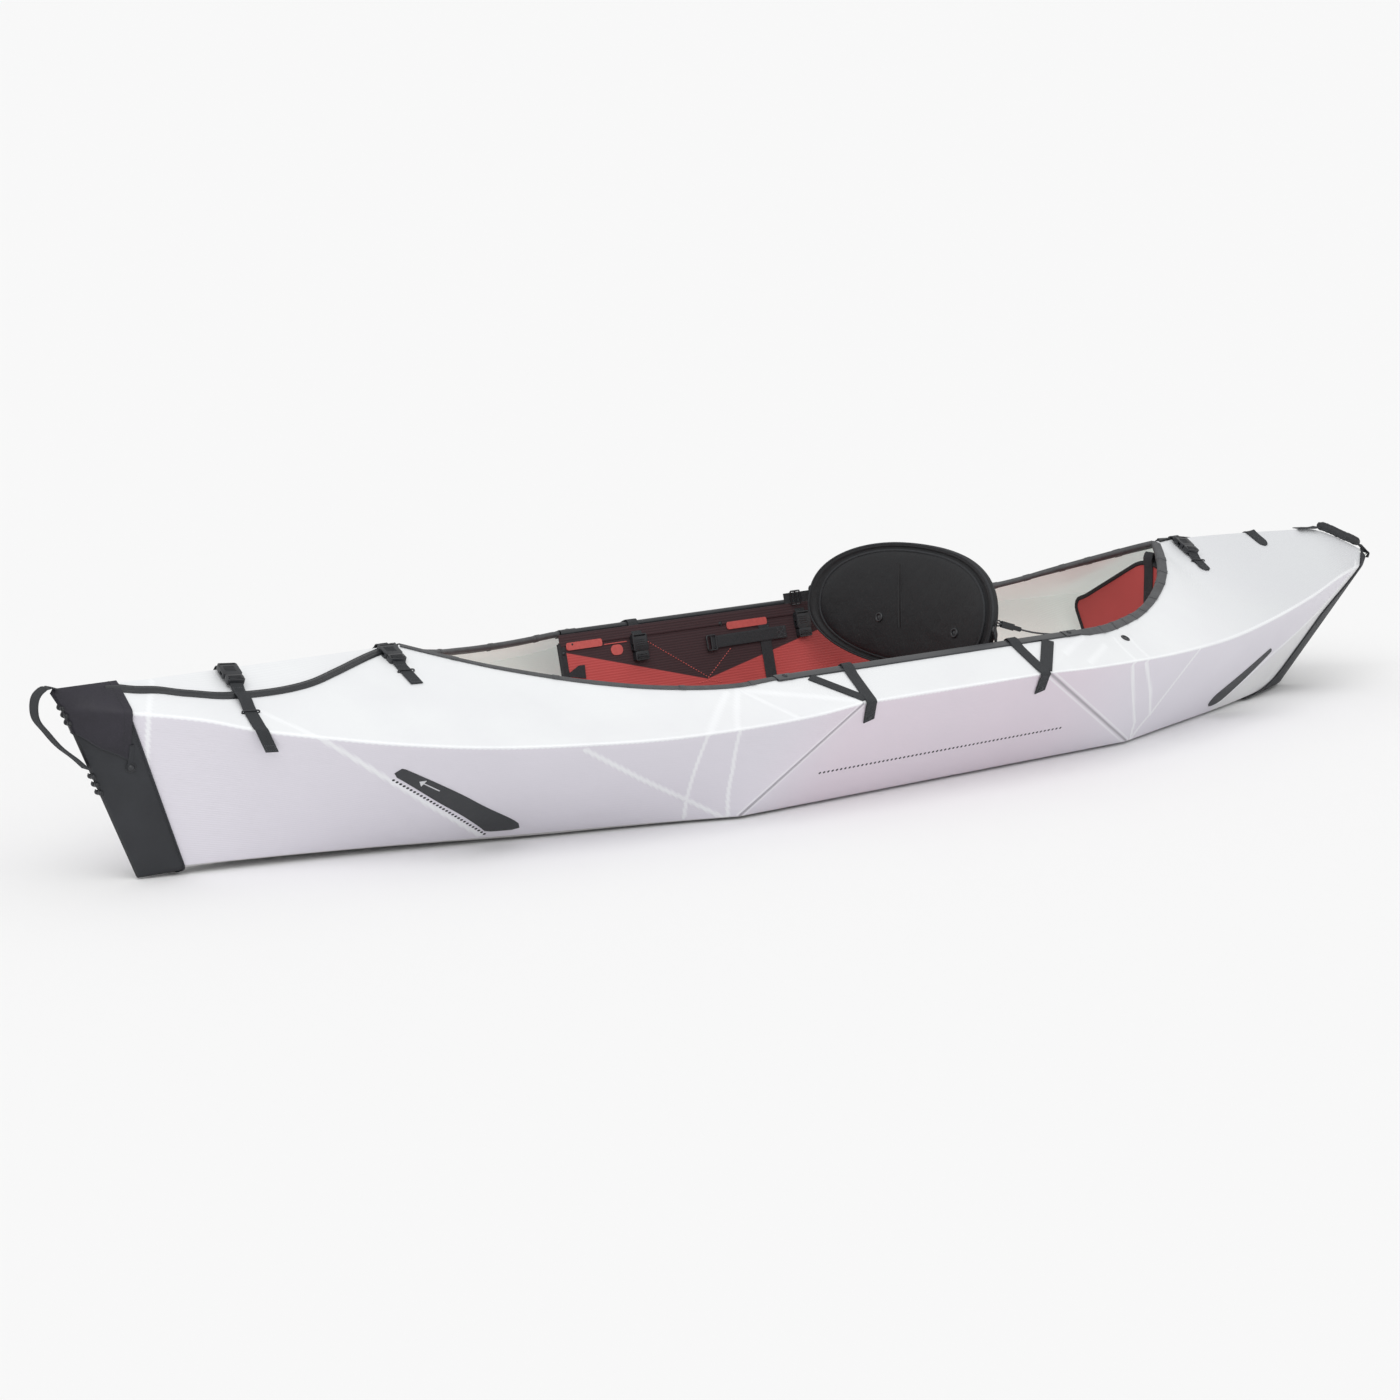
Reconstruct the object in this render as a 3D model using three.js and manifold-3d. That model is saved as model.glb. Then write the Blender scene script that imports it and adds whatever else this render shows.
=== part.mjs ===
// A folding kayak: one creased sheet of twin-wall plastic, closed by straps, rails and end fairings.
// Millimetres. +X runs to the stern, -X to the bow, +Y to the paddler's right, +Z up.
// The origin is on the flat of the bottom, on the centre plane, under the front of the seat.

import * as THREE from 'three';
import { mergeVertices } from 'three/addons/utils/BufferGeometryUtils.js';
import Module from 'manifold-3d';

const wasm = await Module();
wasm.setup();

// Overall hull sizes
const halfBeam = 380;
const depth = 300;
const sheetThickness = 4.6;
const creaseGap = 0.3;
const clearance = 0.3;
const keelDrop = 12;

// Stations along the hull
const bowStemChine = -1430;
const bowStemRise = 20;
const bowOverhang = 120;
const bowApex = -820;
const railFront = -300;
const railRear = 420;
const sternApex = 873;
const sternStemChine = 1440;
const sternStemRise = 15;
const sternOverhang = 225;
const frontFoldTop = -175;
const frontFoldFoot = -340;
const rearFoldTop = 238;
const rearFoldFoot = 580;

const bowStemTop = bowStemChine - bowStemRise;
const bowStemFoot = bowStemChine + bowOverhang;
const sternStemTop = sternStemChine + sternStemRise;
const sternStemFoot = sternStemChine - sternOverhang;

// Half widths at the cockpit as shares of the half beam, and heights as shares of the depth
const widthShares = { rail: 0.737, frontFoot: 0.69, rearFoot: 0.59 };
const heightShares = { rail: 0.743, fold: 0.617 };
const railHalfWidth = halfBeam * widthShares.rail;
const frontFoldFootHalf = halfBeam * widthShares.frontFoot;
const rearFoldFootHalf = halfBeam * widthShares.rearFoot;
const railHeight = depth * heightShares.rail;
const foldHeight = depth * heightShares.fold;

// Tables of shares. Each row starts with how far the point lies between the two ends of its curve.
// Chine rows then hold the share of the half beam and the share of the depth.
const bowChineShares = [
  [0, 0.008, 0.9], [0.06, 0.13, 0.88], [0.14, 0.265, 0.83], [0.2, 0.37, 0.765], [0.27, 0.5, 0.715],
  [0.35, 0.635, 0.665], [0.45, 0.76, 0.618], [0.55, 0.85, 0.592], [0.68, 0.92, 0.567],
  [0.8, 0.96, 0.566], [0.92, 0.985, 0.583], [1, 1, 0.617],
];
const sternChineShares = [
  [0, 1, 0.617], [0.08, 0.98, 0.6], [0.18, 0.935, 0.583], [0.3, 0.87, 0.57], [0.45, 0.74, 0.563],
  [0.6, 0.58, 0.59], [0.75, 0.405, 0.64], [0.88, 0.22, 0.685], [1, 0.008, 0.67],
];
// Bottom edge rows hold the share of the half width at the fold foot and of the keel's drop.
const bowFootShares = [
  [0, 0.012, 0.1], [0.1, 0.115, 0.8], [0.2, 0.19, 0.73], [0.3, 0.27, 0.6], [0.4, 0.36, 0.46],
  [0.5, 0.46, 0.3], [0.6, 0.56, 0.1], [0.68, 0.64, 0], [0.8, 0.76, 0], [0.9, 0.87, 0], [1, 1, 0],
];
const sternFootShares = [
  [0, 1, 0], [0.2, 0.82, 0], [0.4, 0.645, 0], [0.55, 0.512, 0], [0.7, 0.38, 0.2], [0.85, 0.24, 0.42],
  [0.94, 0.135, 0.42], [1, 0.0135, 0.1],
];
// Rim rows hold the share of the rail's half width and how much of the rise to the ridge is left.
const frontRimShares = [
  [0, 0, 1], [0.1, 0.155, 0.78], [0.2, 0.3, 0.58], [0.3, 0.45, 0.42], [0.4, 0.59, 0.28],
  [0.5, 0.715, 0.17], [0.6, 0.815, 0.08], [0.7, 0.89, 0.02], [0.8, 0.95, -0.02], [0.9, 0.99, -0.03],
  [1, 1, 0],
];
const rearRimShares = [
  [0, 1, 0], [0.12, 0.95, -0.03], [0.25, 0.86, -0.05], [0.4, 0.745, -0.05], [0.5, 0.665, -0.02],
  [0.6, 0.585, 0.1], [0.7, 0.49, 0.28], [0.8, 0.37, 0.48], [0.88, 0.245, 0.67], [0.95, 0.11, 0.86],
  [1, 0, 1],
];
// Ridge rows of the stern hold the share of the depth.
const sternRidgeShares = [
  [0, 1], [0.2, 0.995], [0.4, 0.98], [0.6, 0.96], [0.72, 0.945], [0.8, 0.905], [0.9, 0.83], [1, 0.745],
];
// Seam rows hold the share of the widest overlap of one deck sheet over the other.
const seamShares = [
  [0, 0], [0.15, 0.16], [0.25, 0.4], [0.35, 0.72], [0.45, 0.92], [0.55, 1], [0.65, 0.93],
  [0.75, 0.68], [0.87, 0.33], [0.95, 0.13], [1, 0],
];
const seamOverlap = 72;
const deckSteps = 9;
const cockpitSteps = 9;
const midSteps = 4;

const group = new THREE.Group();

const V = (x, y, z) => new THREE.Vector3(x, y, z);
const mix = (a, b, t) => a + (b - a) * t;
const share = (i, steps) => i / steps;
const halfShare = 0.5;

// Finishes
function finish(color, roughness, metalness = 0) {
  return new THREE.MeshStandardMaterial({ color, roughness, metalness });
}
const sheetWhite = () => finish(0xe9e9eb, 0.42);
const trimBlack = () => finish(0x3a3b3d, 0.55);
const fabricBlack = () => finish(0x3b3d42, 0.9);
const webbingBlack = () => finish(0x303133, 0.95);
const buckleBlack = () => finish(0x1f2021, 0.45);
const boardRed = () => finish(0xb84e4c, 0.6);
const foamBlack = () => finish(0x222426, 0.9);

function addPart(name, geometry, material) {
  const mesh = new THREE.Mesh(geometry, material);
  mesh.name = name;
  group.add(mesh);
  return mesh;
}

// Smooth value of a table's column at a share along the curve
function along(table, t, column) {
  let k = 0;
  while (k < table.length - 2 && t > table[k + 1][0]) k++;
  const [a, b] = [table[k], table[k + 1]];
  const before = table[Math.max(k - 1, 0)];
  const after = table[Math.min(k + 2, table.length - 1)];
  const span = b[0] - a[0];
  const slopeA = (b[column] - before[column]) / (b[0] - before[0]);
  const slopeB = (after[column] - a[column]) / (after[0] - a[0]);
  const u = THREE.MathUtils.clamp((t - a[0]) / span, 0, 1);
  const [u2, u3] = [u * u, u * u * u];
  return (2 * u3 - 3 * u2 + 1) * a[column] + (u3 - 2 * u2 + u) * span * slopeA
    + (3 * u2 - 2 * u3) * b[column] + (u3 - u2) * span * slopeB;
}

// The long curves of the hull's outer face, on the right side; the left side is their mirror image
const chineBow = (t) => V(
  mix(bowStemChine, frontFoldTop, t), along(bowChineShares, t, 1) * halfBeam,
  along(bowChineShares, t, 2) * depth);
const chineStern = (t) => V(
  mix(rearFoldTop, sternStemChine, t), along(sternChineShares, t, 1) * halfBeam,
  along(sternChineShares, t, 2) * depth);
const footBow = (t) => V(
  mix(bowStemFoot, frontFoldFoot, t), along(bowFootShares, t, 1) * frontFoldFootHalf,
  along(bowFootShares, t, 2) * keelDrop);
const footStern = (t) => V(
  mix(rearFoldFoot, sternStemFoot, t), along(sternFootShares, t, 1) * rearFoldFootHalf,
  along(sternFootShares, t, 2) * keelDrop);
const rimFront = (t) => V(
  mix(bowApex, railFront, t), along(frontRimShares, t, 1) * railHalfWidth,
  mix(railHeight, depth, along(frontRimShares, t, 2)));
const rimRear = (t) => V(
  mix(railRear, sternApex, t), along(rearRimShares, t, 1) * railHalfWidth,
  mix(railHeight, depth, along(rearRimShares, t, 2)));
const ridgeBow = (t) => V(mix(bowStemTop, bowApex, t), 0, depth);
const ridgeStern = (t) => V(mix(sternApex, sternStemTop, t), 0, along(sternRidgeShares, t, 1) * depth);

// Where each curve stands when the ridge reaches the cockpit's apex: a little nearer the middle
const apexLead = { bowChine: 20, bowFoot: 30, sternChine: 20, sternFoot: 25 };
const bowApexChine = (bowApex + apexLead.bowChine - bowStemChine) / (frontFoldTop - bowStemChine);
const bowApexFoot = (bowApex + apexLead.bowFoot - bowStemFoot) / (frontFoldFoot - bowStemFoot);
const sternApexChine = (sternApex - apexLead.sternChine - rearFoldTop) / (sternStemChine - rearFoldTop);
const sternApexFoot = (sternApex - apexLead.sternFoot - rearFoldFoot) / (sternStemFoot - rearFoldFoot);

// A point inside the hull, abreast of a face, as shares of the face's x and of the depth
const insideShares = { x: 0.9, z: 0.45 };

// How far a corner may move, in sheet distances, and how far the inner face keeps off the centre plane
const mitreLimitShare = 3;
const centreGap = creaseGap * 3;

// A creased sheet: points, and faces that each belong to a named panel
class Sheet {
  constructor() {
    this.points = [];
    this.faces = [];
  }

  point(p) {
    this.points.push(p);
    return this.points.length - 1;
  }

  face(panel, ids) {
    const corners = ids.map((i) => this.points[i]);
    const middle = corners.reduce((s, p) => s.add(p), V(0, 0, 0)).divideScalar(ids.length);
    const inside = V(middle.x * insideShares.x, 0, depth * insideShares.z);
    const normal = V(0, 0, 0);
    corners.forEach((p, i) => normal.add(p.clone().cross(corners[(i + 1) % corners.length])));
    normal.normalize();
    const outward = normal.dot(middle.clone().sub(inside)) > 0;
    this.faces.push({
      panel, ids: outward ? ids : [...ids].reverse(), normal: outward ? normal : normal.negate(),
    });
  }

  // Two rows of points joined by triangles, with the same diagonal on the left and on the right
  strip(panel, rowA, rowB) {
    for (let i = 0; i + 1 < rowA.length; i++) {
      const [a, b, c, d] = [rowA[i], rowA[i + 1], rowB[i + 1], rowB[i]];
      if (a !== b && b !== c) this.face(panel, [a, b, c]);
      if (c !== d && d !== a) this.face(panel, [a, c, d]);
    }
  }

  // The move of each point that puts every face around it at the given distance
  moves(distance) {
    const around = this.points.map(() => []);
    this.faces.forEach((f) => f.ids.forEach((i) => around[i].push({ n: f.normal, d: distance })));
    return around.map((rules) => solveMove(rules).clampLength(0, Math.abs(distance) * mitreLimitShare));
  }

  // A panel of the sheet as a closed solid between two distances from the sheet's face
  panel(name, outerDistance, innerDistance) {
    const faces = this.faces.filter((f) => f.panel === name);
    const outerMoves = this.moves(outerDistance);
    const innerMoves = this.moves(innerDistance);
    const edges = new Map();
    faces.forEach((f) => f.ids.forEach((a, k) => {
      const b = f.ids[(k + 1) % f.ids.length];
      if (edges.has(`${b},${a}`)) edges.delete(`${b},${a}`);
      else edges.set(`${a},${b}`, { a, b, n: f.normal });
    }));
    const rules = new Map();
    edges.forEach(({ a, b, n }) => {
      const inward = n.clone().cross(this.points[b].clone().sub(this.points[a])).normalize();
      for (const i of [a, b]) {
        if (!rules.has(i)) rules.set(i, []);
        rules.get(i).push({ n: inward, d: creaseGap / 2 }, { n, d: 0 });
      }
    });
    const used = [...new Set(faces.flatMap((f) => f.ids))];
    const outer = new Map();
    const inner = new Map();
    used.forEach((i) => {
      const shrink = rules.has(i) ? solveMove(rules.get(i)).clampLength(0, creaseGap) : V(0, 0, 0);
      const o = this.points[i].clone().add(outerMoves[i]).add(shrink);
      const q = this.points[i].clone().add(innerMoves[i]);
      const side = Math.sign(this.points[i].y);
      if (side !== 0) q.y = side * Math.max(q.y * side, centreGap);
      outer.set(i, o);
      inner.set(i, q.add(shrink));
    });
    const soup = [];
    faces.forEach((f) => {
      for (let k = 1; k + 1 < f.ids.length; k++) {
        const [a, b, c] = [f.ids[0], f.ids[k], f.ids[k + 1]];
        soup.push(outer.get(a), outer.get(b), outer.get(c), inner.get(a), inner.get(c), inner.get(b));
      }
    });
    // Two panels that share an edge cut its wall along the same diagonal
    edges.forEach(({ a, b }) => {
      const [oa, ob, qa, qb] = [outer.get(a), outer.get(b), inner.get(a), inner.get(b)];
      if (a < b) soup.push(ob, oa, qb, oa, qa, qb);
      else soup.push(ob, oa, qa, ob, qa, qb);
    });
    return fromSoup(soup);
  }
}

// Least-squares move that meets each rule n.move = d
function solveMove(rules) {
  const small = 1e-5;
  const m = [small, 0, 0, 0, small, 0, 0, 0, small];
  const r = V(0, 0, 0);
  rules.forEach(({ n, d }) => {
    const c = [n.x, n.y, n.z];
    for (let i = 0; i < 9; i++) m[i] += c[Math.floor(i / 3)] * c[i % 3];
    r.addScaledVector(n, d);
  });
  return r.applyMatrix3(new THREE.Matrix3().set(...m).invert());
}

function fromSoup(points) {
  const geometry = new THREE.BufferGeometry();
  const values = points.flatMap((p) => [p.x, p.y, p.z]);
  geometry.setAttribute('position', new THREE.Float32BufferAttribute(values, 3));
  return mergeVertices(geometry, 1e-4);
}

function signedVolume(points, triangles) {
  return triangles.reduce((sum, [a, b, c]) => (
    sum + points[a].dot(points[b].clone().cross(points[c]))), 0);
}

// Triangles over a flat outline, wound the same way as the outline
function flatEnd(outline) {
  const points = outline.map(([x, y]) => new THREE.Vector2(x, y));
  const turn = Math.sign(THREE.ShapeUtils.area(points));
  return THREE.ShapeUtils.triangulateShape([...points], []).map(([a, b, c]) => (
    Math.sign(THREE.ShapeUtils.area([points[a], points[b], points[c]])) === turn ? [a, b, c] : [a, c, b]));
}

// A closed solid through rings of points, with flat ends
function loft(rings, section = null) {
  const count = rings[0].length;
  const points = rings.flat();
  const triangles = [];
  for (let r = 0; r + 1 < rings.length; r++) {
    for (let k = 0; k < count; k++) {
      const a = r * count + k;
      const b = r * count + (k + 1) % count;
      const c = (r + 1) * count + (k + 1) % count;
      const d = (r + 1) * count + k;
      triangles.push([a, b, c], [a, c, d]);
    }
  }
  const flat = section ? flatEnd(section) : Array.from({ length: count - 2 }, (_, k) => [0, k + 1, k + 2]);
  const top = (rings.length - 1) * count;
  flat.forEach(([a, b, c]) => triangles.push([a, c, b], [top + a, top + b, top + c]));
  const inward = signedVolume(points, triangles) < 0;
  return fromSoup(triangles.flatMap(([a, b, c]) => (
    inward ? [points[a], points[c], points[b]] : [points[a], points[b], points[c]])));
}

// A geometry without its normals, with its shared corners merged
function closedCopy(geometry) {
  const clean = geometry.clone();
  clean.deleteAttribute('normal');
  clean.deleteAttribute('uv');
  return mergeVertices(clean, 1e-4);
}

// Booleans
function toManifold(geometry) {
  const merged = closedCopy(geometry);
  return new wasm.Manifold(new wasm.Mesh({
    numProp: 3,
    vertProperties: new Float32Array(merged.attributes.position.array),
    triVerts: new Uint32Array(merged.index.array),
  }));
}
function fromManifold(solid) {
  const mesh = solid.getMesh();
  const geometry = new THREE.BufferGeometry();
  geometry.setAttribute('position', new THREE.BufferAttribute(new Float32Array(mesh.vertProperties), 3));
  geometry.setIndex(new THREE.BufferAttribute(new Uint32Array(mesh.triVerts), 1));
  return geometry;
}
function block(x0, x1, y0, y1, z0, z1) {
  const box = new THREE.BoxGeometry(x1 - x0, y1 - y0, z1 - z0);
  box.translate((x0 + x1) / 2, (y0 + y1) / 2, (z0 + z1) / 2);
  return toManifold(box);
}
function roundedPlate(x0, x1, halfWidth, z0, z1, radius) {
  const shape = new THREE.Shape();
  shape.moveTo(x0 + radius, -halfWidth);
  shape.lineTo(x1 - radius, -halfWidth);
  shape.absarc(x1 - radius, -halfWidth + radius, radius, -Math.PI / 2, 0);
  shape.absarc(x1 - radius, halfWidth - radius, radius, 0, Math.PI / 2);
  shape.absarc(x0 + radius, halfWidth - radius, radius, Math.PI / 2, Math.PI);
  shape.absarc(x0 + radius, -halfWidth + radius, radius, Math.PI, Math.PI * 1.5);
  const solid = new THREE.ExtrudeGeometry(shape, { depth: z1 - z0, bevelEnabled: false, curveSegments: 3 });
  solid.translate(0, 0, z0);
  return toManifold(solid);
}

// The hull sheet
const hull = new Sheet();

// How far the first station from the stem stands, in station spaces: the end fairings reach to it
const firstStation = { bow: { foot: 1.2, top: 1.25 }, stern: { foot: 0.9, top: 0.25 } };
const fromStem = (i, first) => (i === 0 ? 0 : mix(share(first, deckSteps), 1, share(i - 1, deckSteps - 1)));

// Stations of one curve, from its stem to the apex and then evenly to the fold
function stations(curve, apexShare, first) {
  const list = [];
  for (let i = 0; i <= deckSteps; i++) list.push(curve(apexShare * fromStem(i, first)));
  for (let i = 1; i <= cockpitSteps; i++) list.push(curve(mix(apexShare, 1, share(i, cockpitSteps))));
  return list;
}
const mirror = (p) => V(p.x, -p.y, p.z);
const reverse = (list) => [...list].reverse();

const bowCurves = {
  chine: stations(chineBow, bowApexChine, firstStation.bow.top),
  foot: stations(footBow, bowApexFoot, firstStation.bow.foot),
  along: Array.from({ length: deckSteps + 1 }, (_, i) => fromStem(i, firstStation.bow.top)),
  rim: Array.from({ length: cockpitSteps + 1 }, (_, i) => rimFront(share(i, cockpitSteps))),
};
const sternCurves = {
  chine: reverse(stations((t) => chineStern(1 - t), 1 - sternApexChine, firstStation.stern.top)),
  foot: reverse(stations((t) => footStern(1 - t), 1 - sternApexFoot, firstStation.stern.foot)),
  along: Array.from({ length: deckSteps + 1 }, (_, i) => 1 - fromStem(deckSteps - i, firstStation.stern.top)),
  rim: Array.from({ length: cockpitSteps + 1 }, (_, i) => rimRear(share(i, cockpitSteps))),
};

bowCurves.ridge = bowCurves.along.map(ridgeBow);
sternCurves.ridge = sternCurves.along.map(ridgeStern);

// The seam lies on the slope of the side given, between the ridge and that side's chine
function seamPoint(ridge, chine, t, side) {
  const offset = along(seamShares, t, 1) * seamOverlap;
  const down = offset / Math.max(chine.y, offset);
  return V(mix(ridge.x, chine.x, down), side * offset, mix(ridge.z, chine.z, down));
}

const ids = (list) => list.map((p) => hull.point(p));
const LEFT = -1;
const RIGHT = 1;

const bow = {
  chine: { [LEFT]: ids(bowCurves.chine.map(mirror)), [RIGHT]: ids(bowCurves.chine) },
  foot: { [LEFT]: ids(bowCurves.foot.map(mirror)), [RIGHT]: ids(bowCurves.foot) },
  ridge: ids(bowCurves.ridge),
  keel: ids(bowCurves.foot.map((p) => V(p.x, 0, 0))),
};
// The seam leaves the ridge at the stem and meets it again at the cockpit
function seamIds(ridge, curves, firstChine, side) {
  return ridge.map((id, i) => {
    if (i === 0 || i === deckSteps) return id;
    return hull.point(seamPoint(curves.ridge[i], curves.chine[firstChine + i], curves.along[i], side));
  });
}
bow.seam = seamIds(bow.ridge, bowCurves, 0, LEFT);
const rimIds = (curve, side) => ids(curve.map((p) => (side === LEFT ? mirror(p) : p)));
bow.rim = {
  [LEFT]: [bow.ridge[deckSteps], ...rimIds(bowCurves.rim.slice(1), LEFT)],
  [RIGHT]: [bow.ridge[deckSteps], ...rimIds(bowCurves.rim.slice(1), RIGHT)],
};
const stern = {
  chine: { [LEFT]: ids(sternCurves.chine.map(mirror)), [RIGHT]: ids(sternCurves.chine) },
  foot: { [LEFT]: ids(sternCurves.foot.map(mirror)), [RIGHT]: ids(sternCurves.foot) },
  ridge: ids(sternCurves.ridge),
  keel: ids(sternCurves.foot.map((p) => V(p.x, 0, 0))),
};
stern.seam = seamIds(stern.ridge, sternCurves, cockpitSteps, RIGHT);
stern.rim = {
  [LEFT]: [...rimIds(sternCurves.rim.slice(0, -1), LEFT), stern.ridge[0]],
  [RIGHT]: [...rimIds(sternCurves.rim.slice(0, -1), RIGHT), stern.ridge[0]],
};

// Middle zone between the two folds
const midFoot = (t) => V(mix(frontFoldFoot, rearFoldFoot, t), mix(frontFoldFootHalf, rearFoldFootHalf, t), 0);
const inner = (curve) => Array.from({ length: midSteps - 1 }, (_, i) => curve(share(i + 1, midSteps)));
const lastBow = bowCurves.chine.length - 1;
const mid = { foot: {}, chine: {}, rim: {} };
for (const side of [LEFT, RIGHT]) {
  const onSide = (p) => (side === LEFT ? mirror(p) : p);
  const between = (from, to) => inner((t) => onSide(from.clone().lerp(to, t)));
  mid.foot[side] = [bow.foot[side][lastBow], ...ids(inner((t) => onSide(midFoot(t)))), stern.foot[side][0]];
  mid.chine[side] = [bow.chine[side][lastBow],
    ...ids(between(bowCurves.chine[lastBow], sternCurves.chine[0])), stern.chine[side][0]];
  mid.rim[side] = [bow.rim[side][cockpitSteps],
    ...ids(between(bowCurves.rim[cockpitSteps], sternCurves.rim[0])), stern.rim[side][0]];
}
mid.keel = [bow.keel[lastBow], ...ids(inner((t) => V(midFoot(t).x, 0, 0))), stern.keel[0]];

const sideName = { [LEFT]: 'left', [RIGHT]: 'right' };
for (const side of [LEFT, RIGHT]) {
  const name = sideName[side];
  hull.strip(`bow_side_${name}`, bow.foot[side], bow.chine[side]);
  hull.strip(`mid_side_${name}`, mid.foot[side], mid.chine[side]);
  hull.strip(`stern_side_${name}`, stern.foot[side], stern.chine[side]);
  hull.strip(`mid_topside_${name}`, mid.chine[side], mid.rim[side]);
  hull.strip(`bow_deck_${name}`, bow.chine[side].slice(deckSteps), bow.rim[side]);
  hull.strip(`stern_deck_${name}`, stern.chine[side].slice(0, cockpitSteps + 1), stern.rim[side]);
  for (const zone of [bow, mid, stern]) hull.strip('bottom_panel', zone.keel, zone.foot[side]);
}
// The right bow sheet and the left stern sheet carry the ridge and lap over their neighbours
hull.strip('bow_deck_right', bow.chine[RIGHT].slice(0, deckSteps + 1), bow.ridge);
hull.strip('bow_deck_right', bow.ridge, bow.seam);
hull.strip('bow_deck_left', bow.chine[LEFT].slice(0, deckSteps + 1), bow.seam);
hull.strip('stern_deck_left', stern.chine[LEFT].slice(cockpitSteps), stern.ridge);
hull.strip('stern_deck_left', stern.ridge, stern.seam);
hull.strip('stern_deck_right', stern.chine[RIGHT].slice(cockpitSteps), stern.seam);

addPart('bottom_panel', hull.panel('bottom_panel', 0, -sheetThickness), sheetWhite());
for (const side of [LEFT, RIGHT]) {
  for (const zone of ['bow', 'mid', 'stern']) {
    const name = `${zone}_side_${sideName[side]}`;
    addPart(name, hull.panel(name, 0, -sheetThickness), sheetWhite());
  }
  for (const name of ['bow_deck', 'mid_topside', 'stern_deck']) {
    const full = `${name}_${sideName[side]}`;
    addPart(full, hull.panel(full, 0, -sheetThickness), sheetWhite());
  }
}

// Points on the hull's outer face: the deck and topsides from above, the sides from outside
const upperFaces = hull.faces.filter((f) => /deck|topside/.test(f.panel));
const sideFaces = hull.faces.filter((f) => /_side_/.test(f.panel));
function surfaceAt(faces, origin, direction) {
  const ray = new THREE.Ray(origin, direction);
  let best = null;
  for (const f of faces) {
    const hit = ray.intersectTriangle(...f.ids.map((i) => hull.points[i]), false, V(0, 0, 0));
    if (hit && (!best || hit.distanceTo(origin) < best.point.distanceTo(origin))) {
      best = { point: hit.clone(), normal: f.normal };
    }
  }
  return best;
}
const deckAt = (x, y) => surfaceAt(upperFaces, V(x, y, depth * 2), V(0, 0, -1));
const sideAt = (x, z, side) => surfaceAt(sideFaces, V(x, side * halfBeam * 2, z), V(0, -side, 0));

// Edge channels: a U section that grips the edge of the sheet. The path runs along the sheet's edge.
function edgeChannel(path, normals, toOpening, size) {
  const half = sheetThickness / 2;
  const slot = half + size.slack;
  const reach = slot + size.wall;
  const section = [
    [-size.leg, reach], [size.bead, reach], [size.bead, -reach], [-size.leg, -reach],
    [-size.leg, -slot], [size.play, -slot], [size.play, slot], [-size.leg, slot],
  ];
  const rings = path.map((p, i) => {
    const before = path[Math.max(i - 1, 0)];
    const after = path[Math.min(i + 1, path.length - 1)];
    const run = after.clone().sub(before).normalize();
    const up = normals[i].clone().addScaledVector(run, -normals[i].dot(run)).normalize();
    const out = run.clone().cross(up).normalize();
    if (out.dot(toOpening) < 0) out.negate();
    const middle = p.clone().addScaledVector(up, -half);
    return section.map(([a, b]) => middle.clone().addScaledVector(out, a).addScaledVector(up, b));
  });
  return loft(rings, section);
}

const topsideRise = railHeight - foldHeight;
const topsideRun = halfBeam - railHalfWidth;
const topsideSlope = Math.atan2(topsideRise, topsideRun);
const rimTrim = { leg: 8, wall: 1.4, bead: 3.6, play: 2, slack: 1.2 };
const rimStartShare = 0.3;
const rimTurnShare = 0.4;
const railInset = { front: 16, rear: 24 };
function rimPath(idsList, panel, fromStart, railEnd) {
  const points = idsList.map((i) => hull.points[i].clone());
  const normals = idsList.map((i) => {
    const n = V(0, 0, 0);
    hull.faces.forEach((f) => {
      const onRim = f.ids.filter((id) => idsList.includes(id)).length;
      if (f.panel === panel && f.ids.includes(i) && onRim > 1) n.add(f.normal);
    });
    return n.normalize();
  });
  const last = points.length - 1;
  const [tip, next, end] = fromStart ? [0, 1, last] : [last, last - 1, 0];
  points[tip].lerp(points[next], rimStartShare);
  normals[tip].copy(normals[next]);
  const far = points[end].clone().setX(railEnd);
  const turned = points[end].clone().lerp(far, rimTurnShare);
  const flat = V(0, Math.sign(far.y) * Math.sin(topsideSlope), Math.cos(topsideSlope));
  const between = normals[end].clone().add(flat).normalize();
  if (fromStart) return { points: [...points, turned, far], normals: [...normals, between, flat] };
  return { points: [far, turned, ...points], normals: [flat, between, ...normals] };
}
for (const side of [LEFT, RIGHT]) {
  const front = rimPath(bow.rim[side], `bow_deck_${sideName[side]}`, true,
    railFront + railInset.front - clearance);
  addPart(`front_rim_trim_${sideName[side]}`,
    edgeChannel(front.points, front.normals, V(0, -side, 0), rimTrim), trimBlack());
  const rear = rimPath(stern.rim[side], `stern_deck_${sideName[side]}`, false,
    railRear - railInset.rear + clearance);
  addPart(`rear_rim_trim_${sideName[side]}`,
    edgeChannel(rear.points, rear.normals, V(0, -side, 0), rimTrim), trimBlack());
}

// Gunwale rails: the same U section, heavier, along the straight edge of each topside
const railTrim = { leg: 12, wall: 2.4, bead: 6, play: 2.8, slack: 0.5 };
for (const side of [LEFT, RIGHT]) {
  const normal = V(0, side * Math.sin(topsideSlope), Math.cos(topsideSlope));
  const ends = [railFront + railInset.front, railRear - railInset.rear]
    .map((x) => V(x, side * railHalfWidth, railHeight));
  addPart(`gunwale_rail_${sideName[side]}`,
    edgeChannel(ends, [normal, normal], V(0, -side, 0), railTrim), trimBlack());
}

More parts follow.
